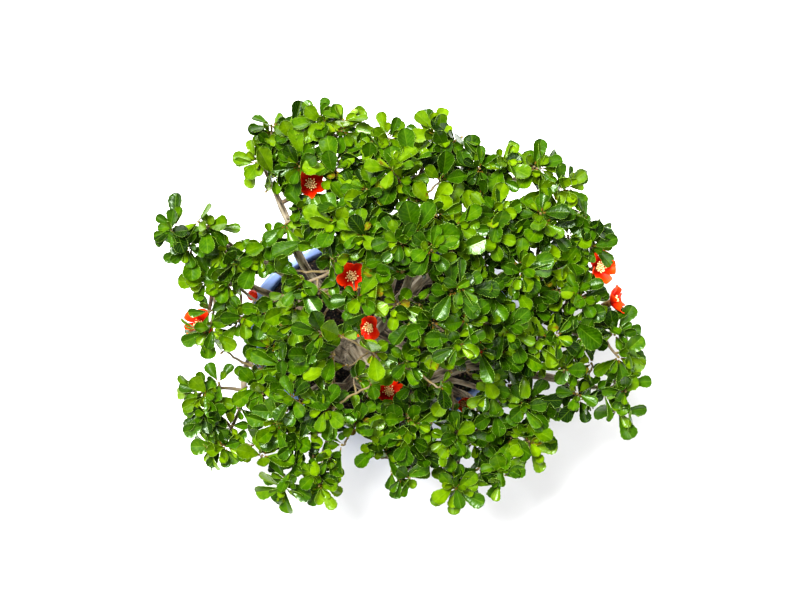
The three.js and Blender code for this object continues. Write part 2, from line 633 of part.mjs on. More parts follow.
function growSprays(wood, blooms) {
  const sprays = Object.entries(SPRAYS).map(([name, row], index) => {
    const draw = drawsFrom(SEEDS.sprays + index);
    const stems = stemsOf(row, draw);
    const stemSolids = stems.map(stemSolid);
    const rosettes = rosettesOf(stems, draw);
    return { name: `spray_${name}`, stems, stemSolids, rosettes, parts: [...stemSolids] };
  });
  const stemRows = sprays.flatMap(({ stems, stemSolids }) => stems.map((stem, i) => [stem, stemSolids[i]]));
  const whorls = [];
  const place = (spray, rosette, places, fewest) => {
    const stemsAround = stemRows.filter(([stem]) => stem !== rosette.stem).map(([, solid]) => solid);
    const around = [...wood, ...blooms, ...stemsAround, ...whorls];
    const { hub, blades, count } = clearBlades(rosette, places, around);
    if (count < fewest) {
      return;
    }
    const whorl = whorlSolid(hub, blades);
    whorls.push(whorl);
    spray.parts.push(whorl);
    if (!rosette.tip) {
      spray.parts.push(rod(new THREE.LineCurve3(rosette.from, rosette.end), () => STEM.spur, 3, 1));
    }
  };
  sprays.forEach((spray) => {
    spray.rosettes.filter(({ tip }) => tip).forEach((rosette) => place(spray, rosette, TIP_LEAVES, 1));
  });
  sprays.forEach((spray) => {
    spray.rosettes.filter(({ tip, rank, stem }) => !tip && rank === 1 && stem.getLength() > LONG_STEM)
      .forEach((rosette) => place(spray, rosette, SPUR_LEAVES, 3));
  });
  return sprays.map(({ name, parts }) => [name, joined(parts)]);
}

// A cut leaves no loose scrap behind, and never takes a spray in two.
const LARGEST_SCRAP = 1;

function withoutScraps(name, solid) {
  const [whole, ...scraps] = solid.decompose().sort((a, b) => b.volume() - a.volume());
  if (scraps.some((scrap) => scrap.volume() > LARGEST_SCRAP)) {
    throw new Error(`${name} is cut in two`);
  }
  return whole;
}

// Put together. The room round the clump is the same wood, thicker by the gap.
const woodParts = (extra) => [
  footSolid(extra),
  ...ROOTS.map((root) => rootSolid(root, extra)),
  ...Object.keys(LIMBS).map((name) => limbSolid(name, extra)),
  ...Object.values(BLOOMS).map((row) => spurSolid(row, extra)),
];
const wood = woodParts(0);
const clump = joined(wood);
const clumpRoom = joined(woodParts(SEAT_GAP));
const blooms = Object.entries(BLOOMS).map(([name, row]) => [name, makeBloom(name, row)]);
const sprays = growSprays(wood, blooms.map(([, solid]) => solid))
  .map(([name, solid]) => [name, withoutScraps(name, solid.subtract(clumpRoom))]);

const plant = new THREE.Group();
plant.position.set(BOX_SHIFT[0], BOX_SHIFT[1], 0);
plant.add(
  meshOf('pot', makePot(), finishes.glaze()),
  meshOf('soil', makeSoil(clumpRoom), finishes.soil()),
  meshOf('clump', clump, finishes.bark()),
  ...sprays.map(([name, solid]) => meshOf(name, solid, finishes.leaf())),
  ...blooms.map(([name, solid]) => meshOf(name, solid, finishes.petal())),
);

export default plant;
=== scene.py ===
"""A dwarf flowering quince, grown as a low clump in an oval glazed pot, in leaf and in bloom.

Places and sizes are in millimetres round the clump's own middle, as a grower would note them down.
They are shifted onto the frame's origin and turned to metres when a mesh is made.
"""
import sys
import logging
import math
from dataclasses import dataclass, field
from enum import Enum
from typing import ClassVar

import bpy
import numpy as np
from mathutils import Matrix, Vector, noise


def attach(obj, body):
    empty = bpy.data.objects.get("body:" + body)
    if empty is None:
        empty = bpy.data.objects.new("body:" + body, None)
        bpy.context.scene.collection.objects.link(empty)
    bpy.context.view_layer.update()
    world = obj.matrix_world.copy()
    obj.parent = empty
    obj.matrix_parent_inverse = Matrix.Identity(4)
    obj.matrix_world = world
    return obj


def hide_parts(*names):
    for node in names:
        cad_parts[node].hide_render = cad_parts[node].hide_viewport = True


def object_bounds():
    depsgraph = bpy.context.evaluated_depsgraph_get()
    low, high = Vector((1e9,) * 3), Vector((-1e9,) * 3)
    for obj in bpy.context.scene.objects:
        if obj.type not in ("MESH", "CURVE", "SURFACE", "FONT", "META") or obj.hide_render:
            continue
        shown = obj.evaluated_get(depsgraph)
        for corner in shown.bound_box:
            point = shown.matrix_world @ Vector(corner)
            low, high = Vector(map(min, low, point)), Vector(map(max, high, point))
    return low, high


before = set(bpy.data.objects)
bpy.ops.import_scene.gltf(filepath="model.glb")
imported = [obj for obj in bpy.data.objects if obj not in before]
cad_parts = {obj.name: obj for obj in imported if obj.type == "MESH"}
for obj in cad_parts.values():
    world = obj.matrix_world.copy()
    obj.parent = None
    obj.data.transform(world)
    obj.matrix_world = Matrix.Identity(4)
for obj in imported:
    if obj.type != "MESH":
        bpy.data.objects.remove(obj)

log = logging.getLogger("quince")

Point = tuple[float, float, float]
Colour = tuple[float, float, float]
Faces = list[tuple[int, ...]]
Rod = tuple[np.ndarray, np.ndarray]

CAD_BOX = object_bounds()
MM = 0.001
TAU = 2.0 * math.pi
UP = np.array((0.0, 0.0, 1.0))
SHIFT = np.array((-3.0, 5.2, 0.0))
EYE_HEIGHT = 1100.0
PICTURE_WIDTH = 680.0


@dataclass(frozen=True)
class Limb:
    """A limb of the clump: its radius at both ends, its way, and where it forks from another."""

    radii: tuple[float, float]
    route: tuple[Point, ...]
    fork: tuple[str, float] | None = None


LIMBS: dict[str, Limb] = {
    "left": Limb((9, 2), (
        (-51, -37, 66), (-84, -2, 84), (-107, 11, 94), (-125, 17, 102), (-144, 13, 110))),
    "back": Limb((9.5, 2.2), (
        (-36, -22, 84), (-30, 16, 128), (-36, 57, 154), (-35, 86, 166), (-41, 104, 171))),
    "crown": Limb((11, 2.6), ((-24, -30, 90), (-13, -8, 132), (2, 8, 172), (8, 24, 200))),
    "upper_right": Limb((10, 2.6), (
        (-8, -27, 80), (6, 1, 104), (7, 15, 117), (22, 21, 123), (52, 16, 138), (85, 14, 148),
        (108, 24, 153), (121, 33, 156))),
    "lower_right": Limb((10, 2.3), (
        (-9, -47, 70), (14, -58, 88), (36, -51, 101), (61, -45, 111), (92, -51, 119),
        (122, -56, 124), (149, -62, 128))),
    "front_left": Limb((7.5, 2), (
        (-34, -55, 70), (-44, -65, 86), (-48, -81, 102), (-51, -95, 115), (-57, -110, 124),
        (-58, -121, 127))),
    "upper_left": Limb((5.5, 2.1), (
        (-78, 14, 101), (-98, 30, 116), (-116, 36, 125), (-138, 47, 131), (-158, 48, 136)),
        ("left", 0.7)),
    "lower_left": Limb((5.5, 2), (
        (-86, -46, 73), (-112, -40, 82), (-121, -49, 86), (-122, -66, 92), (-124, -81, 97)),
        ("left", 0.2)),
    "back_left": Limb((6, 2.2), (
        (-62, 16, 118), (-77, 40, 131), (-82, 60, 143), (-88, 75, 150), (-95, 92, 157)),
        ("back", 0.4)),
    "crown_left": Limb((5.5, 2.4), ((-49, 10, 142), (-47, 30, 164), (-43, 39, 176)), ("back", 0.7)),
    "back_middle": Limb((6, 2), (
        (-6, 18, 140), (5, 53, 166), (9, 81, 175), (8, 107, 181)), ("crown", 0.7)),
    "back_right": Limb((7, 2.4), (
        (18, 20, 130), (47, 47, 155), (62, 66, 165), (72, 84, 169), (86, 92, 171)), ("crown", 0.4)),
    "crown_front": Limb((5.5, 2.4), ((2, -30, 134), (12, -27, 160), (24, -21, 184)), ("crown", 0.5)),
    "right": Limb((7, 2.4), (
        (37, -22, 110), (74, -5, 130), (98, -9, 137), (116, -13, 141), (136, -24, 145)),
        ("upper_right", 0.3)),
    "front_right": Limb((6.5, 2.1), (
        (24, -66, 76), (50, -70, 84), (66, -84, 96), (78, -99, 108)), ("lower_right", 0.3)),
    "front_middle": Limb((3.4, 1.9), ((49, -96, 97), (44, -122, 106)), ("front_right", 1.1)),
    "front": Limb((5, 1.9), ((-20, -73, 86), (-9, -90, 102), (-5, -107, 114)), ("front_left", 0.3)),
    "low_front": Limb((4, 2), ((-62, -62, 104), (-71, -67, 120)), ("front_left", 0.9)),
    # Thin stems low in the middle of the clump, seen through the gap at its front.
    "low_a": Limb((4.5, 2), (
        (-2, -50, 70), (22, -57, 80), (44, -59, 92), (62, -64, 104), (78, -72, 114))),
    "low_b": Limb((4.2, 2), ((0, -52, 66), (24, -66, 74), (46, -78, 84), (60, -92, 98))),
    "low_c": Limb((3.6, 1.8), ((6, -50, 76), (34, -62, 86), (50, -70, 92), (57, -82, 104))),
}

# Every leafy spray: its limb, how far along the limb's points it stands, and its tips.
SPRAYS: dict[str, tuple[str, float, tuple[Point, ...]]] = {
    "far_left": ("upper_left", 4, ((-165, 58, 148), (-155, 43, 142))),
    "left_knee": ("upper_left", 2.2, ((-142, 58, 150), (-130, 38, 142))),
    "left_inner": ("upper_left", 1, ((-95, 46, 150), (-106, 34, 144))),
    "left_low": ("left", 3.8, ((-146, 18, 124), (-145, -19, 120))),
    "left_middle": ("left", 2.4, ((-129, 19, 132), (-122, -12, 124), (-101, -2, 128))),
    "back_left_a": ("back_left", 4, ((-99, 105, 170), (-92, 123, 174))),
    "back_left_b": ("back_left", 3.4, ((-76, 123, 180), (-69, 103, 184))),
    "back_left_c": ("back_left", 2.3, ((-68, 67, 178), (-83, 59, 162))),
    "back_a": ("back", 4, ((-57, 132, 184), (-41, 123, 188))),
    "back_b": ("back", 2.6, ((-46, 95, 192), (-19, 76, 202))),
    "back_middle_a": ("back_middle", 3, ((-10, 119, 190), (-19, 106, 188))),
    "back_middle_b": ("back_middle", 2, ((25, 122, 190), (39, 116, 190))),
    "back_middle_c": ("back_middle", 1.5, ((-2, 88, 202), (21, 69, 208))),
    "back_right_a": ("back_right", 2.5, ((71, 100, 186), (51, 98, 188))),
    "back_right_b": ("back_right", 4, ((95, 98, 184), (115, 84, 178))),
    "back_right_c": ("back_right", 1.8, ((63, 65, 198), (38, 55, 208))),
    "upper_right_a": ("upper_right", 6.6, ((134, 60, 170), (139, 43, 164))),
    "upper_right_b": ("upper_right", 5.9, ((102, 59, 186),)),
    "upper_right_c": ("upper_right", 4.7, ((84, 28, 190), (59, 9, 198))),
    "right_a": ("right", 3.9, ((160, -19, 148), (161, -38, 146))),
    "right_b": ("right", 3, ((130, 5, 168),)),
    "right_c": ("right", 1.8, ((106, -23, 172), (74, -17, 188))),
    "lower_right_a": ("lower_right", 5.9, ((168, -58, 140), (163, -79, 130))),
    "lower_right_b": ("lower_right", 5, ((133, -70, 136),)),
    "lower_right_c": ("lower_right", 3.6, ((96, -70, 146), (63, -59, 152))),
    "front_right_a": ("front_right", 2.9, ((97, -107, 132), (77, -128, 128))),
    "front_right_b": ("front_middle", 0.8, ((42, -139, 124),)),
    "front_right_c": ("front_right", 2.3, ((40, -97, 142),)),
    "front_a": ("front", 1.9, ((1, -129, 130), (-18, -105, 138))),
    "front_b": ("front", 0.8, ((6, -83, 142),)),
    "front_left_a": ("front_left", 4.9, ((-85, -131, 132), (-58, -132, 130))),
    "front_left_b": ("front_left", 3, ((-81, -97, 136),)),
    "front_left_c": ("front_left", 2, ((-33, -89, 140),)),
    "lower_left_a": ("lower_left", 3.9, ((-136, -107, 114), (-149, -80, 116))),
    "lower_left_b": ("lower_left", 3, ((-149, -65, 118),)),
    "lower_left_c": ("lower_left", 1.4, ((-107, -62, 124),)),
    "low_front_a": ("low_front", 0.9, ((-74, -72, 148), (-50, -76, 146))),
    "crown_a": ("crown", 2.9, ((21, 37, 238), (-1, 45, 236))),
    "crown_b": ("crown", 2, ((35, 10, 228), (-29, 5, 206))),
    "crown_front_a": ("crown_front", 1.9, ((38, -22, 214),)),
    "crown_front_b": ("crown_front", 1.1, ((1, -43, 188),)),
    "crown_left_a": ("crown_left", 1.9, ((-44, 58, 206), (-22, 45, 218))),
    "crown_left_b": ("crown_left", 0.8, ((-71, 15, 176),)),
}


class BloomKind(Enum):
    """How far a bloom has opened."""

    OPEN = "open"
    CUP = "cup"
    BUD = "bud"
    SPENT = "spent"


# The blooms: kind, limb, place along it, the middle of the bloom and the way it faces.
BLOOMS: dict[str, tuple[BloomKind, str, float, Point, Point]] = {
    "bloom_back_left": (BloomKind.OPEN, "back_left", 3, (-65, 87, 162), (0.1, 0.1, 1)),
    "bloom_crown_left": (BloomKind.OPEN, "crown_left", 1.4, (-35, 21, 182), (0.2, -0.1, 1)),
    "bloom_crown": (BloomKind.OPEN, "crown", 1.2, (-21, -15, 152), (-0.5, -0.3, 0.9)),
    "bloom_upper_right": (BloomKind.OPEN, "upper_right", 7, (143, 27, 158), (0.5, 0.1, 0.8)),
    "bloom_right": (BloomKind.OPEN, "right", 4, (155, 2, 147), (0.9, 0.2, 0.3)),
    "bloom_front": (BloomKind.OPEN, "front", 0, (-9, -66, 112), (0.1, 0.2, 1)),
    "bloom_left": (BloomKind.OPEN, "left", 4, (-153, -14, 102), (-0.3, -0.2, 0.9)),
    "bloom_low_right": (BloomKind.CUP, "front_right", 1, (49, -75, 101), (0, -0.2, 1)),
    "bloom_back_right": (BloomKind.CUP, "back_right", 1.2, (53, 34, 152), (0.2, -0.3, 0.9)),
    "bloom_middle_right": (BloomKind.CUP, "right", 1, (66, -29, 142), (-0.2, -0.3, 0.9)),
    "bud_left": (BloomKind.BUD, "left", 2.4, (-113, 8, 108), (0, -0.2, 1)),
    "bud_inner_left": (BloomKind.BUD, "left", 1, (-70, -4, 108), (0.1, 0, 1)),
    "bud_front": (BloomKind.BUD, "front_middle", 1, (51, -141, 119), (0, -0.4, 0.8)),
    "spent_bloom": (BloomKind.SPENT, "left", 1.5, (-98, -17, 101), (0, -0.1, 1)),
}


@dataclass(frozen=True)
class Opening:
    """A gap in the leaves, seen from straight above: its middle on the surface, radius and height."""

    x: float
    y: float
    radius: float
    height: float = 60.0

    def shows(self, points: np.ndarray, share: float = 1.0) -> bool:
        """Tell whether points stand in the opening.

        Args:
            points: The points. Those below the opening's height don't count.
            share: How much of its radius counts.

        Returns:
            Whether any of them stands there.
        """
        shrink = 1.0 - points[:, 2] / EYE_HEIGHT
        away = np.hypot(points[:, 0] / shrink - self.x, points[:, 1] / shrink - self.y)
        return bool(np.any((points[:, 2] > self.height) & (away < self.radius * share)))


def openings(*rows: tuple[float, ...]) -> tuple[Opening, ...]:
    """Return the openings of rows that give the middle, the radius and, where it isn't low, the height."""
    return tuple(Opening(*row) for row in rows)


# Windows in the canopy over the blooms and a bud. No filling twig crosses them either.
WINDOWS = openings(
    (-76, 102, 12, 165), (-42, 25, 12, 184), (-25, -18, 13, 154), (-10, -74, 8, 114),
    (-126, 9, 6, 116), (-167, -10, 7, 121), (167, 31, 6, 160),
)

# Hollows in the canopy, where limbs, soil, the pot's rim and the floor show.
HOLLOWS = openings(
    (-45, -40, 16, 70), (-109, 19, 9), (-82, 38, 12), (-70, 25, 10), (55, -70, 16, 90), (11, 79, 5),
    (180, -38, 5), (34, -60, 5, 115), (47, -57, 5, 118), (60, -53, 5, 122), (14, 17, 8, 124),
    (-42, -67, 8, 95),
)

# Bays and notches of the outline, that no leaf reaches into.
BAYS = openings(
    (-104, 80, 14), (-124, 66, 12), (-155, 85, 7), (-175, 74, 6), (-42, -119, 12), (-17, -140, 12),
    (55, 151, 11), (75, 141, 9), (172, -107, 12), (141, -109, 9), (19, -160, 10), (100, -160, 10),
    (172, 85, 9), (202, -79, 9), (-144, -68, 10), (-114, 166, 9),
)

# Small gaps in the canopy, and the bays between its lobes, that the filling leaves stay out of.
GAPS = openings(
    (31, 98, 6), (102, 98, 7), (170, -51, 5), (123, -70, 7), (95, -85, 5), (161, -72, 5),
    (38, -114, 6), (51, -123, 5), (-128, 94, 14), (-108, 84, 9), (-149, -51, 8), (-36, -144, 12),
    (25, -148, 10), (161, -123, 20), (-143, 76, 5), (-75, -121, 7), (-47, 119, 6), (170, -93, 6),
    (-130, 78, 7), (-97, 62, 6), (-156, 79, 12), (-136, 71, 8), (-102, 79, 9), (-143, 37, 13),
    (-197, 52, 9), (-170, -52, 16), (-143, -79, 9), (-143, -108, 11), (-75, -114, 7), (-54, 130, 9),
    (163, -100, 10),
)


class Draws:
    """A stream of numbers from 0 to 1 that is the same each time for the same seed."""

    WORD = 0xFFFFFFFF

    def __init__(self, seed: int) -> None:
        """Start the stream.

        Args:
            seed: The number that sets the whole stream.
        """
        self.state = seed & self.WORD

    def __call__(self) -> float:
        """Return the next number."""
        word = self.WORD
        self.state = (self.state + 0x6D2B79F5) & word
        mixed = ((self.state ^ (self.state >> 15)) * (self.state | 1)) & word
        mixed ^= (mixed + (((mixed ^ (mixed >> 7)) * (mixed | 61)) & word)) & word
        return ((mixed ^ (mixed >> 14)) & word) / 4294967296.0

    def between(self, low: float, high: float) -> float:
        """Return a number between low and high."""
        return low + (high - low) * self()


def unit(vector: np.ndarray) -> np.ndarray:
    """Return the vector at length one."""
    return vector / np.linalg.norm(vector)


def turned(vector: np.ndarray, axis: np.ndarray, angle: float) -> np.ndarray:
    """Turn a vector by the right-hand rule.

    Args:
        vector: The vector.
        axis: What it turns about, at length one.
        angle: How far it turns.

    Returns:
        The turned vector.
    """
    across = np.cross(axis, vector)
    return (vector * math.cos(angle) + across * math.sin(angle)
            + axis * np.dot(axis, vector) * (1.0 - math.cos(angle)))


def srgb(red: int, green: int, blue: int) -> Colour:
    """Return a screen colour, given from 0 to 255, as the linear colour that a shader takes."""
    return tuple(
        ((part / 255 + 0.055) / 1.055) ** 2.4 if part > 10 else part / 255 / 12.92
        for part in (red, green, blue)
    )


class Curve:
    """A smooth curve through points, as a uniform Catmull-Rom spline."""

    CHORDS = 200

    def __init__(self, points: list) -> None:
        """Keep the points, with one more beyond each end.

        Args:
            points: The points that the curve goes through.
        """
        inner = np.array(points, float)
        before = 2.0 * inner[0] - inner[1]
        beyond = 2.0 * inner[-1] - inner[-2]
        self.spans = len(inner) - 1
        self.points = np.vstack((before, inner, beyond))

    def at(self, share: float | np.ndarray) -> np.ndarray:
        """Work out where the curve is.

        Args:
            share: One share of the way, from 0 to 1, or an array of them.

        Returns:
            The point there, or the points.
        """
        place = np.clip(share, 0.0, 1.0) * self.spans
        span = np.minimum(np.floor(place).astype(int), self.spans - 1)
        w = (place - span)[..., None]
        a, b, c, d = (self.points[span + k] for k in range(4))
        leave = 0.5 * (c - a)
        arrive = 0.5 * (d - b)
        return (b + leave * w + (3.0 * (c - b) - 2.0 * leave - arrive) * w ** 2
                + (2.0 * (b - c) + leave + arrive) * w ** 3)

    def tangent(self, share: float) -> np.ndarray:
        """Return the way that the curve runs at a share of the way."""
        step = 0.0001
        ends = self.at(np.array((max(share - step, 0.0), min(share + step, 1.0))))
        return unit(ends[1] - ends[0])

    def length(self) -> float:
        """Return the curve's length, as the sum of many short chords."""
        chain = self.at(np.linspace(0.0, 1.0, self.CHORDS + 1))
        return float(np.linalg.norm(np.diff(chain, axis=0), axis=1).sum())

    def even(self, count: int) -> np.ndarray:
        """Share the curve out evenly.

        Args:
            count: How many points there are, both ends included.

        Returns:
            Points an equal length apart.
        """
        chain = self.at(np.linspace(0.0, 1.0, self.CHORDS + 1))
        run = np.concatenate(((0.0,), np.cumsum(np.linalg.norm(np.diff(chain, axis=0), axis=1))))
        places = np.linspace(0.0, run[-1], count)
        return np.stack([np.interp(places, run, chain[:, k]) for k in range(3)], axis=1)


def frames_along(points: np.ndarray) -> tuple[np.ndarray, np.ndarray, np.ndarray]:
    """Carry a frame along a chain of points without any twist.

    Args:
        points: The chain.

    Returns:
        The ways along, aside and across at each point.
    """
    along = np.gradient(points, axis=0)
    along /= np.linalg.norm(along, axis=1)[:, None]
    aside = np.zeros_like(along)
    level = UP if abs(along[0][2]) < 0.9 else np.array((1.0, 0.0, 0.0))
    aside[0] = unit(np.cross(level, along[0]))
    for i in range(1, len(points)):
        aside[i] = unit(aside[i - 1] - along[i] * np.dot(aside[i - 1], along[i]))
    return along, aside, np.cross(along, aside)


def ring_faces(rings: int, sides: int, capped: bool = True) -> Faces:
    """Join rings of points into a tube.

    Args:
        rings: How many rings there are.
        sides: How many points a ring has.
        capped: Whether a flat cap closes each end.

    Returns:
        The tube's faces.
    """
    faces = []
    for ring in range(rings - 1):
        for side in range(sides):
            a = ring * sides + side
            b = ring * sides + (side + 1) % sides
            faces.append((a, b, b + sides, a + sides))
    if capped:
        faces += [tuple(reversed(range(sides))), tuple(range((rings - 1) * sides, rings * sides))]
    return faces


def crosswise(axis: np.ndarray) -> Rod:
    """Work out two ways that are square to an axis and to each other.

    Args:
        axis: The axis, at length one.

    Returns:
        The ways aside and across.
    """
    level = np.array((0.0, 1.0, 0.0)) if abs(axis[0]) > 0.9 else np.array((1.0, 0.0, 0.0))
    aside = unit(np.cross(level, axis))
    return aside, np.cross(axis, aside)


def tube(points: np.ndarray, radii: np.ndarray, sides: int) -> tuple[np.ndarray, Faces]:
    """Make a closed tube with a flat cap at both ends.

    Args:
        points: The chain of its middle line.
        radii: Its radius at each point.
        sides: How many sides it has.

    Returns:
        Its points and its faces.
    """
    _, aside, across = frames_along(points)
    turns = np.arange(sides) * TAU / sides
    rings = np.cos(turns)[:, None] * aside[:, None] + np.sin(turns)[:, None] * across[:, None]
    skin = (points[:, None] + rings * np.asarray(radii)[:, None, None]).reshape(-1, 3)
    return skin, ring_faces(len(points), sides)


class Draft:
    """The points, faces and values by point of one mesh, gathered before it is made."""

    def __init__(self) -> None:
        """Start with nothing in it."""
        self.points: list[np.ndarray] = []
        self.faces: Faces = []
        self.marks: list[np.ndarray] = []
        self.tones: list[np.ndarray] = []
        self.count = 0

    def add(self, points: np.ndarray, faces: Faces, marks: np.ndarray | None = None,
            tone: float = 0.5) -> None:
        """Add one shape.

        Args:
            points: Its points, in millimetres.
            faces: Its faces, counted from its own first point.
            marks: Where each point lies on the shape's own pattern, from 0 to 1 each way.
            tone: The shape's place in its finish's run of colours.
        """
        self.points.append(points)
        self.faces.extend(tuple(i + self.count for i in face) for face in faces)
        self.marks.append(np.zeros((len(points), 2)) if marks is None else marks)
        self.tones.append(np.full(len(points), tone))
        self.count += len(points)

    def make(self, name: str) -> bpy.types.Object:
        """Make the mesh, in metres and in its place, as a new object.

        Args:
            name: The object's name.

        Returns:
            The object.
        """
        mesh = bpy.data.meshes.new(name)
        place = (np.vstack(self.points) + SHIFT) * MM
        mesh.from_pydata(place.tolist(), [], self.faces)
        corners = np.empty(len(mesh.loops), int)
        mesh.loops.foreach_get("vertex_index", corners)
        pattern = mesh.uv_layers.new(name="Pattern")
        pattern.data.foreach_set("uv", np.vstack(self.marks)[corners].ravel())
        tone = mesh.attributes.new("tone", "FLOAT", "POINT")
        tone.data.foreach_set("value", np.concatenate(self.tones))
        piece = bpy.data.objects.new(name, mesh)
        bpy.context.scene.collection.objects.link(piece)
        return piece


def read(points: bpy.types.bpy_prop_collection, what: str) -> np.ndarray:
    """Read what each of a mesh's points holds.

    Args:
        points: The mesh's points, or their normals.
        what: The name of the three numbers.

    Returns:
        The numbers, one row to a point.
    """
    values = np.empty(len(points) * 3)
    points.foreach_get(what, values)
    return values.reshape(-1, 3)


def settle(mesh: bpy.types.Mesh, points: np.ndarray) -> None:
    """Put a mesh's points in their places, given in millimetres."""
    mesh.vertices.foreach_set("co", ((points + SHIFT) * MM).ravel())


def select_only(piece: bpy.types.Object) -> None:
    """Select one piece, and nothing else, for the operators that follow."""
    bpy.ops.object.select_all(action="DESELECT")
    piece.select_set(True)
    bpy.context.view_layer.objects.active = piece


def apply_modifier(piece: bpy.types.Object, kind: str, **settings: object) -> None:
    """Add a modifier to a piece and apply it.

    Args:
        piece: The piece.
        kind: The modifier's type.
        **settings: Its settings, by name.
    """
    select_only(piece)
    modifier = piece.modifiers.new(kind.title(), kind)
    for key, value in settings.items():
        setattr(modifier, key, value)
    bpy.ops.object.modifier_apply(modifier=modifier.name)


def smooth(piece: bpy.types.Object, degrees: float) -> None:
    """Shade a piece smooth, with a crease at each edge sharper than the angle."""
    select_only(piece)
    bpy.ops.object.shade_smooth_by_angle(angle=math.radians(degrees))


def dress(piece: bpy.types.Object, nodes: list[str], slot: str, *finishes: bpy.types.Material) -> None:
    """Give a piece its finishes, and say what it rides on and stands for.

    Args:
        piece: The piece.
        nodes: The nodes of the frame that it stands for.
        slot: Not used.
        *finishes: Its materials, in order.
    """
    piece.data.materials.clear()
    for finish in finishes:
        piece.data.materials.append(finish)
    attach(piece, "root")
    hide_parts(*nodes)
    log.info("%s: %d faces", piece.name, len(piece.data.polygons))


class Signal:
    """A value in a material's nodes. Arithmetic on it adds the nodes that work it out."""

    def __init__(self, shader: "Shader", socket: bpy.types.NodeSocket) -> None:
        """Keep the material that it belongs to and the socket that it comes from."""
        self.shader = shader
        self.socket = socket

    def __add__(self, other: "Signal | float") -> "Signal":
        """Return the sum."""
        return self.shader.math("ADD", self, other)

    def __sub__(self, other: "Signal | float") -> "Signal":
        """Return the difference."""
        return self.shader.math("SUBTRACT", self, other)

    def __mul__(self, other: "Signal | float") -> "Signal":
        """Return the product."""
        return self.shader.math("MULTIPLY", self, other)

    def __abs__(self) -> "Signal":
        """Return the size without the sign."""
        return self.shader.math("ABSOLUTE", self)

    def wave(self) -> "Signal":
        """Return the sine."""
        return self.shader.math("SINE", self)

    def larger(self, other: "Signal") -> "Signal":
        """Return the larger of the two."""
        return self.shader.math("MAXIMUM", self, other)

    def band(self, low: float, high: float, start: float = 0.0, end: float = 1.0) -> "Signal":
        """Return a value that goes softly from start to end as this one goes from low to high."""
        inputs = {0: self, 1: low, 2: high, 3: start, 4: end}
        return self.shader.signal("MapRange", inputs, interpolation_type="SMOOTHSTEP")

    def ramp(self, *stops: tuple[float, Colour]) -> "Signal":
        """Turn the value into a colour.

        Args:
            *stops: The run of colours, each with its own place from 0 to 1.

        Returns:
            The colour.
        """
        node = self.shader.node("ValToRGB", {0: self})
        elements = node.color_ramp.elements
        while len(elements) < len(stops):
            elements.new(0.5)
        for element, (place, colour) in zip(elements, stops):
            element.position = place
            element.color = (*colour, 1.0)
        return Signal(self.shader, node.outputs[0])


class Shader:
    """A material's nodes, built up from its pattern to its surface."""

    def __init__(self, name: str, **sockets: float | Colour) -> None:
        """Make the material, and set what is the same all over it.

        Args:
            name: The material's name.
            **sockets: Values for the surface, with _ for a space in the socket's name.
        """
        self.material = bpy.data.materials.new(name)
        self.material.use_nodes = True
        self.tree = self.material.node_tree
        self.surface = self.tree.nodes["Principled BSDF"]
        for key, value in sockets.items():
            socket = self.surface.inputs[key.replace("_", " ")]
            socket.default_value = (*value, 1.0) if isinstance(value, tuple) else value

    def node(self, kind: str, inputs: dict, **settings: object) -> bpy.types.Node:
        """Add a node.

        Args:
            kind: The node's type, without its common first word.
            inputs: What goes into its inputs, by name or by number: a signal or a plain value.
            **settings: Its settings, by name.

        Returns:
            The node.
        """
        node = self.tree.nodes.new("ShaderNode" + kind)
        for key, value in settings.items():
            setattr(node, key, value)
        for key, value in inputs.items():
            if isinstance(value, Signal):
                self.tree.links.new(value.socket, node.inputs[key])
            else:
                node.inputs[key].default_value = value
        return node

    def signal(self, kind: str, inputs: dict, output: int | str = 0, **settings: object) -> Signal:
        """Add a node as node() does, and return one of its outputs."""
        return Signal(self, self.node(kind, inputs, **settings).outputs[output])

    def math(self, operation: str, *values: Signal | float) -> Signal:
        """Return the result of one step of arithmetic."""
        return self.signal("Math", dict(enumerate(values)), operation=operation)

    def here(self) -> Signal:
        """Return the place on the object."""
        return self.signal("TexCoord", {}, "Object")

    def carried(self, name: str, output: str = "Fac") -> Signal:
        """Return a value that the mesh carries by point."""
        return self.signal("Attribute", {}, output, attribute_name=name)

    def pattern(self) -> tuple[Signal, Signal]:
        """Return the place along and across the shape's own pattern."""
        parts = self.node("SeparateXYZ", {0: self.signal("UVMap", {}, uv_map="Pattern")})
        return Signal(self, parts.outputs[0]), Signal(self, parts.outputs[1])

    def grains(self, where: Signal, scale: float, detail: float = 3.0) -> Signal:
        """Return a soft noise with the given number of grains to the metre."""
        return self.signal("TexNoise", {"Vector": where, "Scale": scale, "Detail": detail})

    def drawn_out(self, where: Signal, squeeze: float) -> Signal:
        """Return a place whose third number is squeezed, so that a pattern on it runs long there."""
        return self.signal("Mapping", {"Vector": where, "Scale": (1.0, 1.0, squeeze)})

    def mix(self, share: Signal | float, first: Signal, second: Signal | Colour) -> Signal:
        """Return two colours mixed by a share from 0 to 1."""
        other = second if isinstance(second, Signal) else (*second, 1.0)
        return self.signal("Mix", {0: share, 6: first, 7: other}, 2, data_type="RGBA")

    def finished(self, colour: Signal, height: Signal | None = None, depth: float = 0.0,
                 strength: float = 1.0) -> bpy.types.Material:
        """Lead the colour and the relief to the surface.

        Args:
            colour: The colour.
            height: The relief, from 0 to 1, or None where there is none.
            depth: The depth of the relief, in millimetres.
            strength: How much of it shows.

        Returns:
            The finished material.
        """
        self.tree.links.new(colour.socket, self.surface.inputs["Base Color"])
        if height is not None:
            relief = self.signal("Bump", {"Height": height, "Distance": depth * MM, "Strength": strength})
            self.tree.links.new(relief.socket, self.surface.inputs["Normal"])
        return self.material


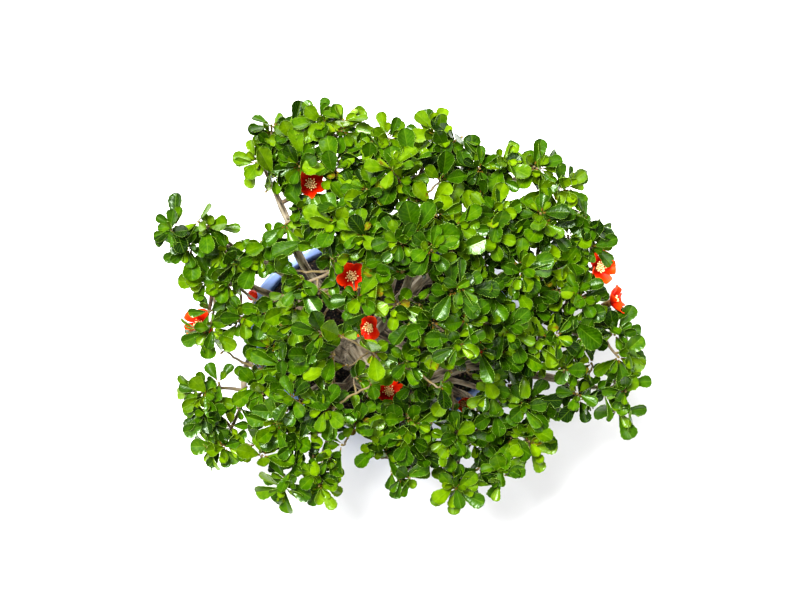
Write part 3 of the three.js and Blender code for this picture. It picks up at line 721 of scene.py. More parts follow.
@dataclass(frozen=True)
class LeafFinish:
    """A glossy leaf: its run of greens, pale rib and side veins, thin pale rim and reddish stalk."""

    deep: Colour = srgb(12, 34, 0)
    middle: Colour = srgb(48, 82, 0)
    bright: Colour = srgb(84, 112, 0)
    young: Colour = srgb(110, 138, 6)
    bronze: Colour = srgb(112, 92, 18)
    vein: Colour = srgb(140, 172, 50)
    rim: Colour = srgb(152, 182, 84)
    stalk: Colour = srgb(118, 92, 34)
    sheen: Colour = (0.8, 0.94, 0.76)
    under_greens: tuple[Colour, ...] = (srgb(46, 72, 26), srgb(86, 118, 40), srgb(116, 148, 46))
    side_veins: float = 8.0
    vein_slant: float = 2.6
    teeth: float = 15.0

    def upper(self) -> bpy.types.Material:
        """Make the finish of the upper face and the rim.

        Returns:
            The material.
        """
        shader = Shader("leaf_upper", Roughness=0.24, Specular_IOR_Level=0.27, Specular_Tint=self.sheen)
        along, side = shader.pattern()
        across = abs(side - 0.5) * 2.0
        mottle = shader.grains(shader.here(), 260.0)
        tone = shader.carried("tone") + mottle.band(0.3, 0.7, -0.08, 0.08)
        green = tone.ramp(
            (0.0, self.deep), (0.38, self.middle), (0.66, self.bright), (0.92, self.young),
            (1.0, self.bronze))
        slant = along * self.side_veins - across * self.vein_slant + mottle * 0.5
        veins = (slant * TAU).wave().band(0.3, 1.0, 0.0, 0.05)
        rib = across.band(0.0, 0.1, 0.16, 0.0)
        teeth = (along * (self.teeth * TAU)).wave().band(-0.6, 0.6)
        edge = across.band(0.92, 1.0)
        rim = edge * teeth.band(0.0, 1.0, 0.22, 0.6)
        # Deep green in the notches between the pale teeth of the edge: painted shade where the edge cuts
        # in.
        notch_shade = edge * teeth.band(0.0, 1.0, 0.4, 0.0)
        lined = shader.mix(rim, shader.mix(veins.larger(rib), green, self.vein), self.rim)
        lined = shader.mix(notch_shade, lined, self.deep)
        colour = shader.mix(along.band(0.06, 0.16, 1.0, 0.0), lined, self.stalk)
        fine = (mottle - (veins * 2.4).larger(rib * 3.6)) * 0.12
        end = along - 0.5
        return shader.finished(colour, fine + (across * across + end * end * 2.4), 1.0)

    def under(self) -> bpy.types.Material:
        """Return the finish of the dull, paler under face."""
        shader = Shader("leaf_under", Roughness=0.62)
        along, _ = shader.pattern()
        green = shader.carried("tone").ramp(*zip((0.0, 0.6, 1.0), self.under_greens))
        return shader.finished(shader.mix(along.band(0.1, 0.2, 1.0, 0.0), green, self.stalk))


@dataclass(frozen=True)
class PetalFinish:
    """A petal in a run of three colours from its claw to its edge, with fine streaks along it."""

    name: str = "petal"
    # The fresh petal darkens toward its claw: painted shade where the petals meet in the bloom's middle.
    colours: tuple[Colour, ...] = (srgb(150, 8, 0), srgb(212, 36, 0), srgb(230, 66, 4))
    turn: float = 0.55

    def material(self) -> bpy.types.Material:
        """Return the finish."""
        shader = Shader(self.name, Roughness=0.5, Specular_IOR_Level=0.14)
        along, side = shader.pattern()
        streaks = shader.grains(shader.signal("CombineXYZ", {0: side * 26.0, 1: along * 2.0}), 1.0)
        reach = along + streaks.band(0.3, 0.7, -0.18, 0.18)
        return shader.finished(reach.ramp(*zip((0.0, self.turn, 1.0), self.colours)), streaks, 0.2, 0.5)


@dataclass(frozen=True)
class PlainFinish:
    """A small matt or soft thing of two colours, mottled: its name, colours, grain and roughness."""

    name: str
    dark: Colour
    light: Colour
    grain: float = 900.0
    roughness: float = 0.6
    depth: float = 0.2

    def material(self) -> bpy.types.Material:
        """Return the finish, its colours led by the mesh's own tone and by a fine mottle."""
        shader = Shader(self.name, Roughness=self.roughness)
        mottle = shader.grains(shader.here(), self.grain)
        tone = shader.carried("tone") + mottle.band(0.3, 0.7, -0.3, 0.3)
        return shader.finished(tone.ramp((0.15, self.dark), (0.85, self.light)), mottle, self.depth)


@dataclass(frozen=True)
class BarkFinish:
    """Old wood: stringy grey ridges over dark brown furrows, that run along each limb. Near black in the
    furrows: partly the bark's own dark brown, partly painted shade.
    """

    furrow_and_shade: Colour = srgb(36, 30, 22)
    body: Colour = srgb(146, 133, 111)
    ridge: Colour = srgb(204, 195, 175)

    def material(self) -> bpy.types.Material:
        """Return the finish, its grain led along the limbs by the mesh's own grain."""
        shader = Shader("bark", Roughness=0.82)
        strings = shader.drawn_out(shader.carried("grain", "Vector"), 0.16)
        fibre = shader.grains(strings, 640.0, 6.0)
        plates = shader.grains(strings, 190.0)
        height = fibre * 0.5 + plates * 0.3 + shader.carried("relief") * 0.35
        # The colour darkens with the relief, near black in the furrows: partly the dark bark there, partly
        # painted shade.
        colour = height.ramp((0.4, self.furrow_and_shade), (0.55, self.body), (0.74, self.ridge))
        stain = shader.grains(shader.here(), 36.0).band(0.42, 0.62)
        colour = shader.mix(stain, colour, shader.mix(0.25, colour, self.furrow_and_shade))
        return shader.finished(colour, height, 1.6)


@dataclass(frozen=True)
class GlazeFinish:
    """A thick periwinkle glaze: darker where it pools, paler where it runs thin, and paler over the top of
    its lip: partly glaze run thin there, partly painted highlight.
    """

    pooled: Colour = srgb(72, 92, 148)
    body: Colour = srgb(104, 134, 204)
    thin: Colour = srgb(150, 174, 228)
    clay: Colour = srgb(104, 82, 66)
    lip: tuple[float, float] = (0.0525, 0.056)
    dipped: tuple[float, float] = (0.003, 0.0045)

    def material(self) -> bpy.types.Material:
        """Return the finish of the glazed pot, with bare clay at the bottom of its feet."""
        shader = Shader("glaze", Roughness=0.3, Coat_Weight=0.8, Coat_Roughness=0.08)
        here = shader.here()
        height = shader.signal("SeparateXYZ", {0: here}, "Z")
        cloud = shader.grains(shader.drawn_out(here, 0.3), 38.0, 4.0)
        thick = cloud * 0.8 + shader.grains(here, 900.0, 2.0) * 0.2
        colour = thick.ramp((0.34, self.pooled), (0.52, self.body), (0.7, self.thin))
        # Paler over the top of the lip: partly glaze run thin, partly painted highlight.
        colour = shader.mix(height.band(*self.lip, 0.0, 0.65), colour, self.thin)
        colour = shader.mix(height.band(*self.dipped, 1.0, 0.0), colour, self.clay)
        return shader.finished(colour, thick, 0.5, 0.35)


@dataclass(frozen=True)
class SoilFinish:
    """Dark gritty soil: near black, with brown and tan grains."""

    wet: Colour = srgb(14, 12, 11)
    dark: Colour = srgb(26, 21, 18)
    brown: Colour = srgb(50, 38, 30)
    tan: Colour = srgb(104, 84, 64)

    def material(self) -> bpy.types.Material:
        """Return the finish of the soil's fine grit."""
        shader = Shader("soil", Roughness=0.92)
        cells = shader.node("TexVoronoi", {"Vector": shader.here(), "Scale": 620.0})
        draw, away = (Signal(shader, cells.outputs[name]) for name in ("Color", "Distance"))
        grain = shader.signal("SeparateColor", {0: draw})
        colour = grain.ramp((0.0, self.wet), (0.6, self.dark), (0.86, self.brown), (0.98, self.tan))
        return shader.finished(colour, shader.math("SUBTRACT", 1.0, away), 1.2)


@dataclass
class Pot:
    """The oval pot: one glazed shell with a rolled lip, on four low feet."""

    half_length: float = 110.5
    half_depth: float = 80.0
    height: float = 56.0
    foot: float = 8.0
    floor: float = 7.0
    rim: float = 8.0
    middle: tuple[float, float] = (-14.0, -20.0)
    foot_size: tuple[float, float] = (33.0, 11.6)
    foot_ways: tuple[int, ...] = (35, 145, 215, 325)
    steps: int = 128
    finish: GlazeFinish = field(default_factory=GlazeFinish)

    def profile(self) -> list[tuple[float, float]]:
        """Return the shell's outline, from its middle below to its middle inside."""
        length, height, foot = self.half_length, self.height, self.foot
        return [
            (0, foot), (length - 20, foot), (length - 9, foot + 20), (length - 5, height - 9.5),
            (length, height - 6.5), (length, height - 1.5), (length - 2, height),
            (length - self.rim, height), (length - self.rim - 2, height - 5),
            (length - 15, foot + 18), (length - 24, foot + self.floor), (0, foot + self.floor),
        ]

    def rounded(self, share: float = 0.36, arc: int = 4) -> list[tuple[float, float]]:
        """Return the outline with each corner turned into a short arc.

        Args:
            share: How far along each side an arc reaches.
            arc: How many points an arc has.

        Returns:
            The finer outline.
        """
        outline = [np.array(point, float) for point in self.profile()]
        points = [tuple(outline[0])]
        for before, corner, after in zip(outline, outline[1:], outline[2:]):
            sides = (np.linalg.norm(corner - before), np.linalg.norm(after - corner))
            reach = min(share * sides[0], share * sides[1], 6.0)
            start = corner + unit(before - corner) * reach
            end = corner + unit(after - corner) * reach
            for t in np.linspace(0.0, 1.0, arc):
                points.append(tuple((1 - t) ** 2 * start + 2 * t * (1 - t) * corner + t ** 2 * end))
        return points + [tuple(outline[-1])]

    def narrow(self, radius: np.ndarray) -> np.ndarray:
        """Work out the oval's depth, which keeps the wall as thick in front as at the side.

        Args:
            radius: How far it reaches to the side.

        Returns:
            How far it reaches to the front.
        """
        inner = self.half_length - 24.0
        difference = self.half_length - self.half_depth
        return np.where(radius > inner, radius - difference, radius * (inner - difference) / inner)

    def shell(self) -> bpy.types.Object:
        """Spin the outline, and make the round shell oval with the same wall all round.

        Returns:
            The piece.
        """
        outline = self.rounded()
        draft = bpy.data.meshes.new("glazed_pot")
        edges = [(i, i + 1) for i in range(len(outline) - 1)]
        draft.from_pydata([(r, 0.0, z) for r, z in outline], edges, [])
        piece = bpy.data.objects.new("glazed_pot", draft)
        bpy.context.scene.collection.objects.link(piece)
        select_only(piece)
        bpy.ops.object.mode_set(mode="EDIT")
        bpy.ops.mesh.select_all(action="SELECT")
        bpy.ops.mesh.spin(steps=self.steps, angle=TAU, center=(0, 0, 0), axis=(0, 0, 1))
        bpy.ops.mesh.select_all(action="SELECT")
        bpy.ops.mesh.remove_doubles(threshold=0.01)
        bpy.ops.mesh.normals_make_consistent(inside=False)
        bpy.ops.object.mode_set(mode="OBJECT")
        skin = read(draft.vertices, "co")
        radius = np.hypot(skin[:, 0], skin[:, 1])
        skin[:, 1] *= np.where(radius > 1.0, self.narrow(radius) / np.maximum(radius, 1.0), 1.0)
        settle(draft, skin + (*self.middle, 0.0))
        return piece

    def feet(self) -> list[bpy.types.Object]:
        """Model four low feet, each a block with soft corners.

        Returns:
            The feet.
        """
        long = self.half_length - 29.0
        short = self.half_depth - 27.0
        tall = self.foot + 2.0
        feet = []
        for degrees in self.foot_ways:
            angle = math.radians(degrees)
            spot = np.array((long * math.cos(angle), short * math.sin(angle), tall / 2.0))
            spot = (spot + (*self.middle, 0.0) + SHIFT) * MM
            bpy.ops.object.select_all(action="DESELECT")
            bpy.ops.mesh.primitive_cube_add(
                size=MM, location=spot, scale=(*self.foot_size, tall),
                rotation=(0, 0, math.atan2(-short * math.cos(angle), long * math.sin(angle))))
            foot = bpy.context.object
            bpy.ops.object.mode_set(mode="EDIT")
            bpy.ops.mesh.select_all(action="SELECT")
            bpy.ops.mesh.subdivide(number_cuts=3)
            bpy.ops.object.mode_set(mode="OBJECT")
            bpy.ops.object.transform_apply(location=False, rotation=False, scale=True)
            apply_modifier(foot, "BEVEL", width=2.4 * MM, segments=3, limit_method="ANGLE")
            bpy.ops.object.transform_apply(location=True, rotation=True, scale=False)
            feet.append(foot)
        return feet

    def build(self) -> None:
        """Model the pot, join its feet to it and glaze it."""
        shell = self.shell()
        feet = self.feet()
        select_only(shell)
        for foot in feet:
            foot.select_set(True)
        bpy.ops.object.join()
        smooth(shell, 40.0)
        dress(shell, ["pot"], "glaze", self.finish.material())


@dataclass
class Soil:
    """The soil in the pot: a low mound of grit round the clump, with loose grains on it."""

    pot: Pot
    edge: float = 50.0
    mound: float = 10.0
    spread: float = 48.0
    heart: tuple[float, float] = (-30.0, -38.0)
    rings: int = 62
    sides: int = 240
    grains: int = 1100
    grain_seed: int = 77
    moss: int = 1500
    moss_seed: int = 78
    bare: float = 0.06
    patch: float = 24.0
    grit: PlainFinish = PlainFinish("soil_grain", srgb(18, 15, 13), srgb(96, 76, 58), 700.0, 0.9)
    green: PlainFinish = PlainFinish("moss", srgb(14, 24, 6), srgb(62, 86, 24), 1400.0, 0.95, 0.5)

    def height(self, x: float, y: float) -> float:
        """Return the soil's height at a place."""
        away = math.hypot(x - self.heart[0], y - self.heart[1]) / self.spread
        return self.edge + self.mound * math.exp(-away * away)

    def bed(self) -> bpy.types.Object:
        """Model the bed of soil: a skirt down the pot's inner wall, and an uneven gritty top.

        Returns:
            The piece.
        """
        pot = self.pot
        wall = pot.half_length - pot.rim - 2.6
        base = pot.foot + pot.floor + 0.4
        outline = [
            (pot.half_length - 25.0, base), (pot.half_length - 15.8, pot.foot + 18.0),
            (wall - 0.9, self.edge),
            *((wall * (1.0 - k / self.rings), None) for k in range(1, self.rings)),
        ]
        turns = np.arange(self.sides) * TAU / self.sides
        points = []
        for radius, level in outline:
            reach = float(pot.narrow(np.array(radius)))
            for turn in turns:
                x = pot.middle[0] + radius * math.cos(turn)
                y = pot.middle[1] + reach * math.sin(turn)
                z = level
                if level is None:
                    rough = noise.turbulence(Vector((x, y, 0.0)) / 7.0, 4, False) - 0.6
                    grit = noise.noise(Vector((x, y, 3.0)) / 1.6)
                    z = self.height(x, y) + 1.4 * rough + 0.7 * grit
                points.append((x, y, z))
        last = len(outline) * self.sides
        points += [(*pot.middle, base), (*pot.middle, self.height(*pot.middle))]
        faces = ring_faces(len(outline), self.sides, capped=False)
        for side in range(self.sides):
            after = (side + 1) % self.sides
            faces.append((last, after, side))
            faces.append((last + 1, last - self.sides + side, last - self.sides + after))
        draft = Draft()
        draft.add(np.array(points), faces)
        return draft.make("soil_bed")

    def mossy(self, x: float, y: float) -> bool:
        """Return whether a place lies in one of the patches of moss."""
        return noise.noise(Vector((x, y, 40.0)) / self.patch) > self.bare

    def strewn(self, name: str, count: int, seed: int, moss: bool) -> bpy.types.Object:
        """Model one grain, and strew copies of it, each turned and sized by its own draw.

        Args:
            name: The piece's name.
            count: How many are drawn.
            seed: The seed of the draws.
            moss: Whether they are beads of moss, which keep to their patches.

        Returns:
            The piece.
        """
        bpy.ops.object.select_all(action="DESELECT")
        bpy.ops.mesh.primitive_ico_sphere_add(subdivisions=1, radius=1.0)
        grain = bpy.context.object
        shape = np.array([tuple(v.co) for v in grain.data.vertices])
        faces = [tuple(face.vertices) for face in grain.data.polygons]
        bpy.data.objects.remove(grain)
        draw = Draws(seed)
        draft = Draft()
        wall = self.pot.half_length - self.pot.rim - 5.0
        for _ in range(count):
            turn = TAU * draw()
            radius = wall * math.sqrt(draw())
            x = self.pot.middle[0] + radius * math.cos(turn)
            y = self.pot.middle[1] + float(self.pot.narrow(np.array(radius))) * math.sin(turn)
            size = 0.6 + 1.3 * draw() ** 2
            stretch = np.array((1.0, draw.between(0.65, 1.0), draw.between(0.55, 0.9))) * size
            spin = TAU * draw()
            lean = turned(UP, np.array((1.0, 0.0, 0.0)), 0.6 * (draw() - 0.5))
            body = np.array([turned(point, lean, spin) for point in shape * stretch])
            body += (x, y, self.height(x, y) + 0.3 * size)
            tone = draw()
            if not moss or self.mossy(x, y):
                draft.add(body, faces, tone=tone)
        return draft.make(name)

    def build(self) -> None:
        """Model the bed and its grains, and dress them."""
        bed = self.bed()
        smooth(bed, 60.0)
        dress(bed, ["soil"], "soil", SoilFinish().material())
        grains = self.strewn("soil_grains", self.grains, self.grain_seed, False)
        dress(grains, ["soil"], "soil", self.grit.material())
        beads = self.strewn("moss_beads", self.moss, self.moss_seed, True)
        dress(beads, ["soil"], "soil", self.green.material())


@dataclass
class Clump:
    """The wood: a gnarled foot, surface roots and every limb, grown as one piece."""

    soil: Soil
    start: float = 32.0
    voxel: float = 1.05
    foot_radii: tuple[float, ...] = (18, 20, 22, 19, 16, 12)
    foot_knobs: tuple[float, ...] = (0, 2.4, -1.6, 1.8, -2.2, 0.8, 2.6, -1.4, 1.2, -2)
    foot_stretch: tuple[float, float] = (1.1, 0.85)
    root_rows: tuple[Point, ...] = (
        (20, 38, 6.0), (150, 38, 5.5), (265, 36, 5.5), (85, 30, 3.6), (320, 40, 3.2))
    root_drop: tuple[tuple[float, float], ...] = ((0.2, 10.0), (0.55, 3.0), (0.8, -1.5), (1.05, -7.0))
    finish: BarkFinish = field(default_factory=BarkFinish)
    curves: dict[str, Curve] = field(default_factory=dict)

    def __post_init__(self) -> None:
        """Lay out the limbs' curves, each fork from its parent's own curve."""
        for name, limb in LIMBS.items():
            first = limb.route[0]
            start = self.limb_point(*limb.fork) if limb.fork else self.heart(first[2] - 14.0)
            self.curves[name] = Curve([start, *limb.route])

    def heart(self, height: float) -> np.ndarray:
        """Return the point of the clump's middle line at a height."""
        return np.array((*self.soil.heart, height))

    def limb_point(self, name: str, place: float) -> np.ndarray:
        """Return a point of a limb, with its place counted along its own points from 0."""
        curve = self.curves[name]
        return curve.at(min(1.0, (place + 1.0) / curve.spans))

    def foot_skin(self) -> tuple[np.ndarray, Faces, np.ndarray, np.ndarray]:
        """Model the gnarled foot as a stack of knobbed rings.

        Returns:
            Its points and faces, its middle line and its radii.
        """
        line = Curve([self.heart(self.start), self.heart(52.0), (-29, -38, 70), (-28, -36, 94)])
        rings = 18
        sides = 40
        shares = np.linspace(0.0, 1.0, rings)
        middles = line.at(shares)
        radii = np.interp(shares, np.linspace(0.0, 1.0, len(self.foot_radii)), self.foot_radii)
        turns = np.arange(sides) * TAU / sides
        count = len(self.foot_knobs)
        knobs = np.interp(turns / TAU * count, np.arange(count + 1), [*self.foot_knobs, self.foot_knobs[0]])
        wide, deep = self.foot_stretch
        skin = []
        for i, (middle, radius) in enumerate(zip(middles, radii)):
            reach = radius + np.roll(knobs, -4 * (i // 3)) * (0.0 if i < 4 else 1.0)
            ring = (np.cos(turns) * reach * wide, np.sin(turns) * reach * deep, np.zeros(sides))
            skin.append(middle + np.stack(ring, axis=1))
        return np.vstack(skin), ring_faces(rings, sides), middles, radii

    def roots(self) -> list[Rod]:
        """Lay the surface roots out from the foot and down into the soil.

        Returns:
            The middle line and the radii of each.
        """
        rows = []
        for way, reach, thick in self.root_rows:
            points = []
            for share, lift in self.root_drop:
                angle = math.radians(way) + share * 0.3
                x = self.soil.heart[0] + math.cos(angle) * reach * share * 1.1
                y = self.soil.heart[1] + math.sin(angle) * reach * share * 0.9
                points.append((x, y, self.soil.height(x, y) + lift))
            line = Curve(points).even(14)
            rows.append((line, thick * (1.0 - 0.72 * np.linspace(0.0, 1.0, len(line)))))
        return rows

    def lines(self) -> list[Rod]:
        """Lay out every root and limb, with small swellings along the limbs.

        Returns:
            The middle line and the radii of each.
        """
        rows = self.roots()
        for index, (name, limb) in enumerate(LIMBS.items()):
            line = self.curves[name].even(44)
            shares = np.linspace(0.0, 1.0, len(line))
            radii = limb.radii[0] + (limb.radii[1] - limb.radii[0]) * np.sqrt(shares)
            swell = [noise.noise(Vector((index * 7.3, share * 9.0, 0.0))) for share in shares]
            radii = radii * (1.0 + 0.16 * np.array(swell))
            radii[-1] *= 0.5
            rows.append((line, radii))
        return rows

    def grain(self, skin: np.ndarray, rows: list[Rod]) -> Rod:
        """Work out which limb each point of the skin lies on, and where.

        Args:
            skin: The points of the skin.
            rows: The middle line and the radii of each limb.

        Returns:
            Each point's place round and along its limb, and its limb's radius there.
        """
        nearest = np.full(len(skin), np.inf)
        places = np.zeros_like(skin)
        sizes = np.zeros(len(skin))
        for index, (line, radii) in enumerate(rows):
            along, aside, across = frames_along(line)
            run = np.concatenate(((0.0,), np.cumsum(np.linalg.norm(np.diff(line, axis=0), axis=1))))
            away = np.linalg.norm(skin[:, None] - line[None], axis=2)
            closest = away.argmin(axis=1)
            gap = away[np.arange(len(skin)), closest] - radii[closest]
            better = gap < nearest
            spot = closest[better]
            offset = skin[better] - line[spot]
            parts = [np.einsum("ij,ij->i", offset, way[spot]) for way in (aside, across, along)]
            parts[2] += run[spot] + 211.0 * index
            places[better] = np.stack(parts, axis=1)
            sizes[better] = radii[spot]
            nearest[better] = gap[better]
        return places, sizes

    def raise_bark(self, mesh: bpy.types.Mesh, rows: list[Rod]) -> None:
        """Raise the bark's strings and lumps on the bare skin, and note where each point lies.

        The strings run along the limbs, and turn aslant over the top of the foot.

        Args:
            mesh: The skin.
            rows: The middle line and the radii of the foot and of each limb.
        """
        skin = read(mesh.vertices, "co") / MM - SHIFT
        ways = read(mesh.vertex_normals, "vector")
        places, sizes = self.grain(skin, rows)
        cap = (ways[:, 2] > 0.55) & (places[:, 2] < 200.0)
        x, y, z = skin[cap].T
        places[cap] = np.stack((z, 0.8 * x + 0.6 * y, 0.8 * y - 0.6 * x), axis=1)
        depth = np.clip(0.1 * sizes, 0.22, 1.7)
        relief = np.array([
            noise.ridged_multi_fractal(Vector((x / 5.0, y / 5.0, z / 26.0)), 0.9, 2.1, 3, 0.9, 2.0)
            for x, y, z in places])
        relief = np.clip(relief / 2.0, 0.0, 1.2)
        lumps = np.array([noise.noise(Vector(place) / 13.0) for place in places])
        settle(mesh, skin + ways * (depth * (relief - 0.75) + 0.6 * depth * lumps)[:, None])
        grain = mesh.attributes.new("grain", "FLOAT_VECTOR", "POINT")
        grain.data.foreach_set("vector", (places * MM).ravel())
        mesh.attributes.new("relief", "FLOAT", "POINT").data.foreach_set("value", relief)

    def build(self) -> None:
        """Melt the foot, the roots and the limbs into one skin, and raise its bark."""
        points, faces, middles, foot_radii = self.foot_skin()
        rows = self.lines()
        draft = Draft()
        draft.add(points, faces)
        for line, radii in rows:
            draft.add(*tube(line, radii, 14))
        piece = draft.make("clump_bark")
        apply_modifier(piece, "REMESH", mode="VOXEL", voxel_size=self.voxel * MM)
        apply_modifier(piece, "SMOOTH", factor=0.5, iterations=2)
        self.raise_bark(piece.data, [(middles, foot_radii), *rows])
        smooth(piece, 70.0)
        dress(piece, ["clump"], "bark", self.finish.material())


class LeafMaster:
    """One leaf, modelled once: a stalk, a wedge base, a toothed edge and a blunt tip."""

    ROWS = (0.0, 0.1, 0.2, 0.31, 0.41, 0.51, 0.6, 0.68, 0.76, 0.83, 0.9, 0.96, 1.0)
    WIDTHS = (0.08, 0.13, 0.3, 0.47, 0.61, 0.74, 0.85, 0.95, 1.0, 0.98, 0.87, 0.66, 0.34)
    TOOTH = 0.035

    def __init__(self) -> None:
        """Model the leaf from a flat grid, and keep its points and faces."""
        bpy.ops.object.select_all(action="DESELECT")
        bpy.ops.mesh.primitive_grid_add(x_subdivisions=len(self.ROWS) - 1, y_subdivisions=2, size=2.0)
        leaf = bpy.context.object
        flat = np.array([tuple(v.co) for v in leaf.data.vertices])
        self.faces = [tuple(face.vertices) for face in leaf.data.polygons]
        bpy.data.objects.remove(leaf)
        rows = np.rint((flat[:, 0] + 1.0) / 2.0 * (len(self.ROWS) - 1)).astype(int)
        side = np.rint(flat[:, 1])
        teeth = np.where((rows > 3) & (rows < len(self.ROWS) - 1), self.TOOTH * (-1.0) ** rows, 0.0)
        self.along = np.array(self.ROWS)[rows]
        self.across = side * (np.array(self.WIDTHS)[rows] + teeth)
        self.marks = np.stack((self.along, 0.5 + 0.5 * side), axis=1)


@dataclass
class Leaf:
    """How one leaf stands in its rosette."""

    swing: float
    rise: float
    length: float
    shape: float
    roll: float
    fold: float
    droop: float


@dataclass
class Rosette:
    """A ring of leaves round the end of a stem or a spur."""

    foot: np.ndarray
    end: np.ndarray
    axis: np.ndarray
    spin: float
    leaves: list[Leaf]
    tip: bool
    spray: str
    extra: bool = False


@dataclass
class Foliage:
    """Every leafy spray: its stems, its spurs and its rosettes of leaves.

    Further rosettes fill the canopy: each on its own twig, where others stand all round it.
    """

    clump: Clump
    seed: int = 101
    shade_seed: int = 5000
    leaf_length: float = 17.5
    blade_thick: float = 0.3
    slender: float = 0.86
    fuller: float = 1.12
    hub: float = 1.75
    hub_thick: float = 1.9
    outer: int = 5
    inner: int = 3
    inner_size: float = 0.62
    spur_step: float = 15.0
    golden_turn: float = 2.39996
    opened: float = 0.6
    window_share: float = 0.75
    fill_seed: int = 7000
    fill_step: float = 13.0
    fill_wide: float = 300.0
    fill_round: float = 58.0
    fill_open: float = 2.4
    fill_reach: float = 66.0
    crowd: float = 11.4
    sparse: float = -95.0
    sparse_crowd: float = 1.5
    leaf: LeafFinish = field(default_factory=LeafFinish)
    twig_finish: PlainFinish = PlainFinish("twig", srgb(118, 106, 90), srgb(112, 96, 40), 420.0, 0.8, 0.7)
    master: LeafMaster = field(default_factory=LeafMaster)
    materials: tuple[bpy.types.Material, ...] = ()
    stems: dict[str, list[Curve]] = field(default_factory=dict)

    def grow(self, limb: str, place: float, tips: tuple[Point, ...], draw: Draws) -> list[Curve]:
        """Lay out a spray's stems, the first from its limb and the others from the first.

        Args:
            limb: The limb that carries the spray.
            place: How far along the limb's points it stands.
            tips: The end of each stem.
            draw: The stream that bends them.

        Returns:
            The stems.
        """
        stems: list[Curve] = []
        for tip in tips:
            start = stems[0].at(0.45) if stems else self.clump.limb_point(limb, place)
            end = np.array(tip, float)
            length = float(np.linalg.norm(end - start))
            lean = np.array((draw() - 0.5, draw() - 0.5, 0.0)) * 0.22 * length
            rise = unit(0.5 * unit(end - start) + UP)
            low = start + 0.4 * (end - start) + lean - 0.1 * length * UP
            stems.append(Curve([start, low, end - 0.26 * length * rise, end]))
        return stems

    def rosette(self, spray: str, foot: np.ndarray, end: np.ndarray, axis: np.ndarray, size: float,
                draw: Draws, tip: bool = False) -> Rosette:
        """Draw the leaves of one rosette.

        Args:
            spray: The spray that it belongs to.
            foot: Where its spur or twig starts.
            end: Where its leaves spring from.
            axis: The way that it faces.
            size: Its leaves' size, 1 for a full one.
            draw: The stream that shapes it.
            tip: Whether it ends a stem, and so has no spur.

        Returns:
            The rosette.
        """
        spin = draw() * TAU
        leaves = [
            Leaf(
                swing=0.36 * (draw() - 0.5),
                rise=0.15 + 0.5 * draw(),
                length=self.leaf_length * size * (0.76 + 0.4 * draw()),
                shape=0.56 + 0.18 * draw(),
                roll=0.5 * (draw() - 0.5),
                fold=0.2 + 0.2 * draw(),
                droop=0.05 + 0.2 * draw(),
            )
            for _ in range(self.outer + self.inner)
        ]
        return Rosette(foot, end, axis, spin, leaves, tip, spray)

    def rosettes(self, spray: str, draw: Draws) -> list[Rosette]:
        """Lay out a spray's rosettes: one at each tip, and one on each short spur along a stem.

        Args:
            spray: The spray's name.
            draw: The stream that places them.

        Returns:
            The rosettes.
        """
        rows = []
        for stem in self.stems[spray]:
            end = stem.at(1.0)
            rows.append(self.rosette(spray, end, end, stem.tangent(1.0), 1.0, draw, tip=True))
            count = max(1, math.floor(stem.length() / self.spur_step + 0.5))
            start = draw() * TAU
            for k in range(count):
                share = 0.3 + 0.6 * (k + 0.5) / count
                foot = stem.at(share)
                tangent = stem.tangent(share)
                out = turned(unit(np.cross(tangent, UP)), tangent, start + k * self.golden_turn)
                way = unit(out + 0.4 * tangent + 1.1 * UP)
                reach = 6.0 + 8.0 * draw()
                size = 0.78 + 0.2 * draw()
                rows.append(self.rosette(spray, foot, foot + way * reach, way, size, draw))
        return rows

    def ringed(self, spot: np.ndarray, ends: np.ndarray) -> bool:
        """Tell whether rosettes stand all round a spot.

        Args:
            spot: The spot.
            ends: The places of the rosettes.

        Returns:
            Whether no gap between the ways to them, seen from above, is too wide.
        """
        offset = (ends - spot)[:, :2]
        offset = offset[np.hypot(offset[:, 0], offset[:, 1]) < self.fill_round]
        ways = np.sort(np.arctan2(offset[:, 1], offset[:, 0]))
        return len(ways) >= 3 and np.diff(np.append(ways, ways[0] + TAU)).max() <= self.fill_open

    def loosen(self, rosette: Rosette, draw: Draws) -> None:
        """Let the leaves of a filling rosette stand less evenly, and drop one here and there.

        Args:
            rosette: The rosette.
            draw: The stream that loosens it.
        """
        for leaf in rosette.leaves:
            leaf.rise += 0.8 * draw() - 0.1
            leaf.roll *= 2.4
            leaf.fold *= 1.3
            leaf.length *= 0.82 + 0.46 * draw()
        rosette.leaves = [leaf for leaf in rosette.leaves if draw() > 0.1]
        rosette.extra = True

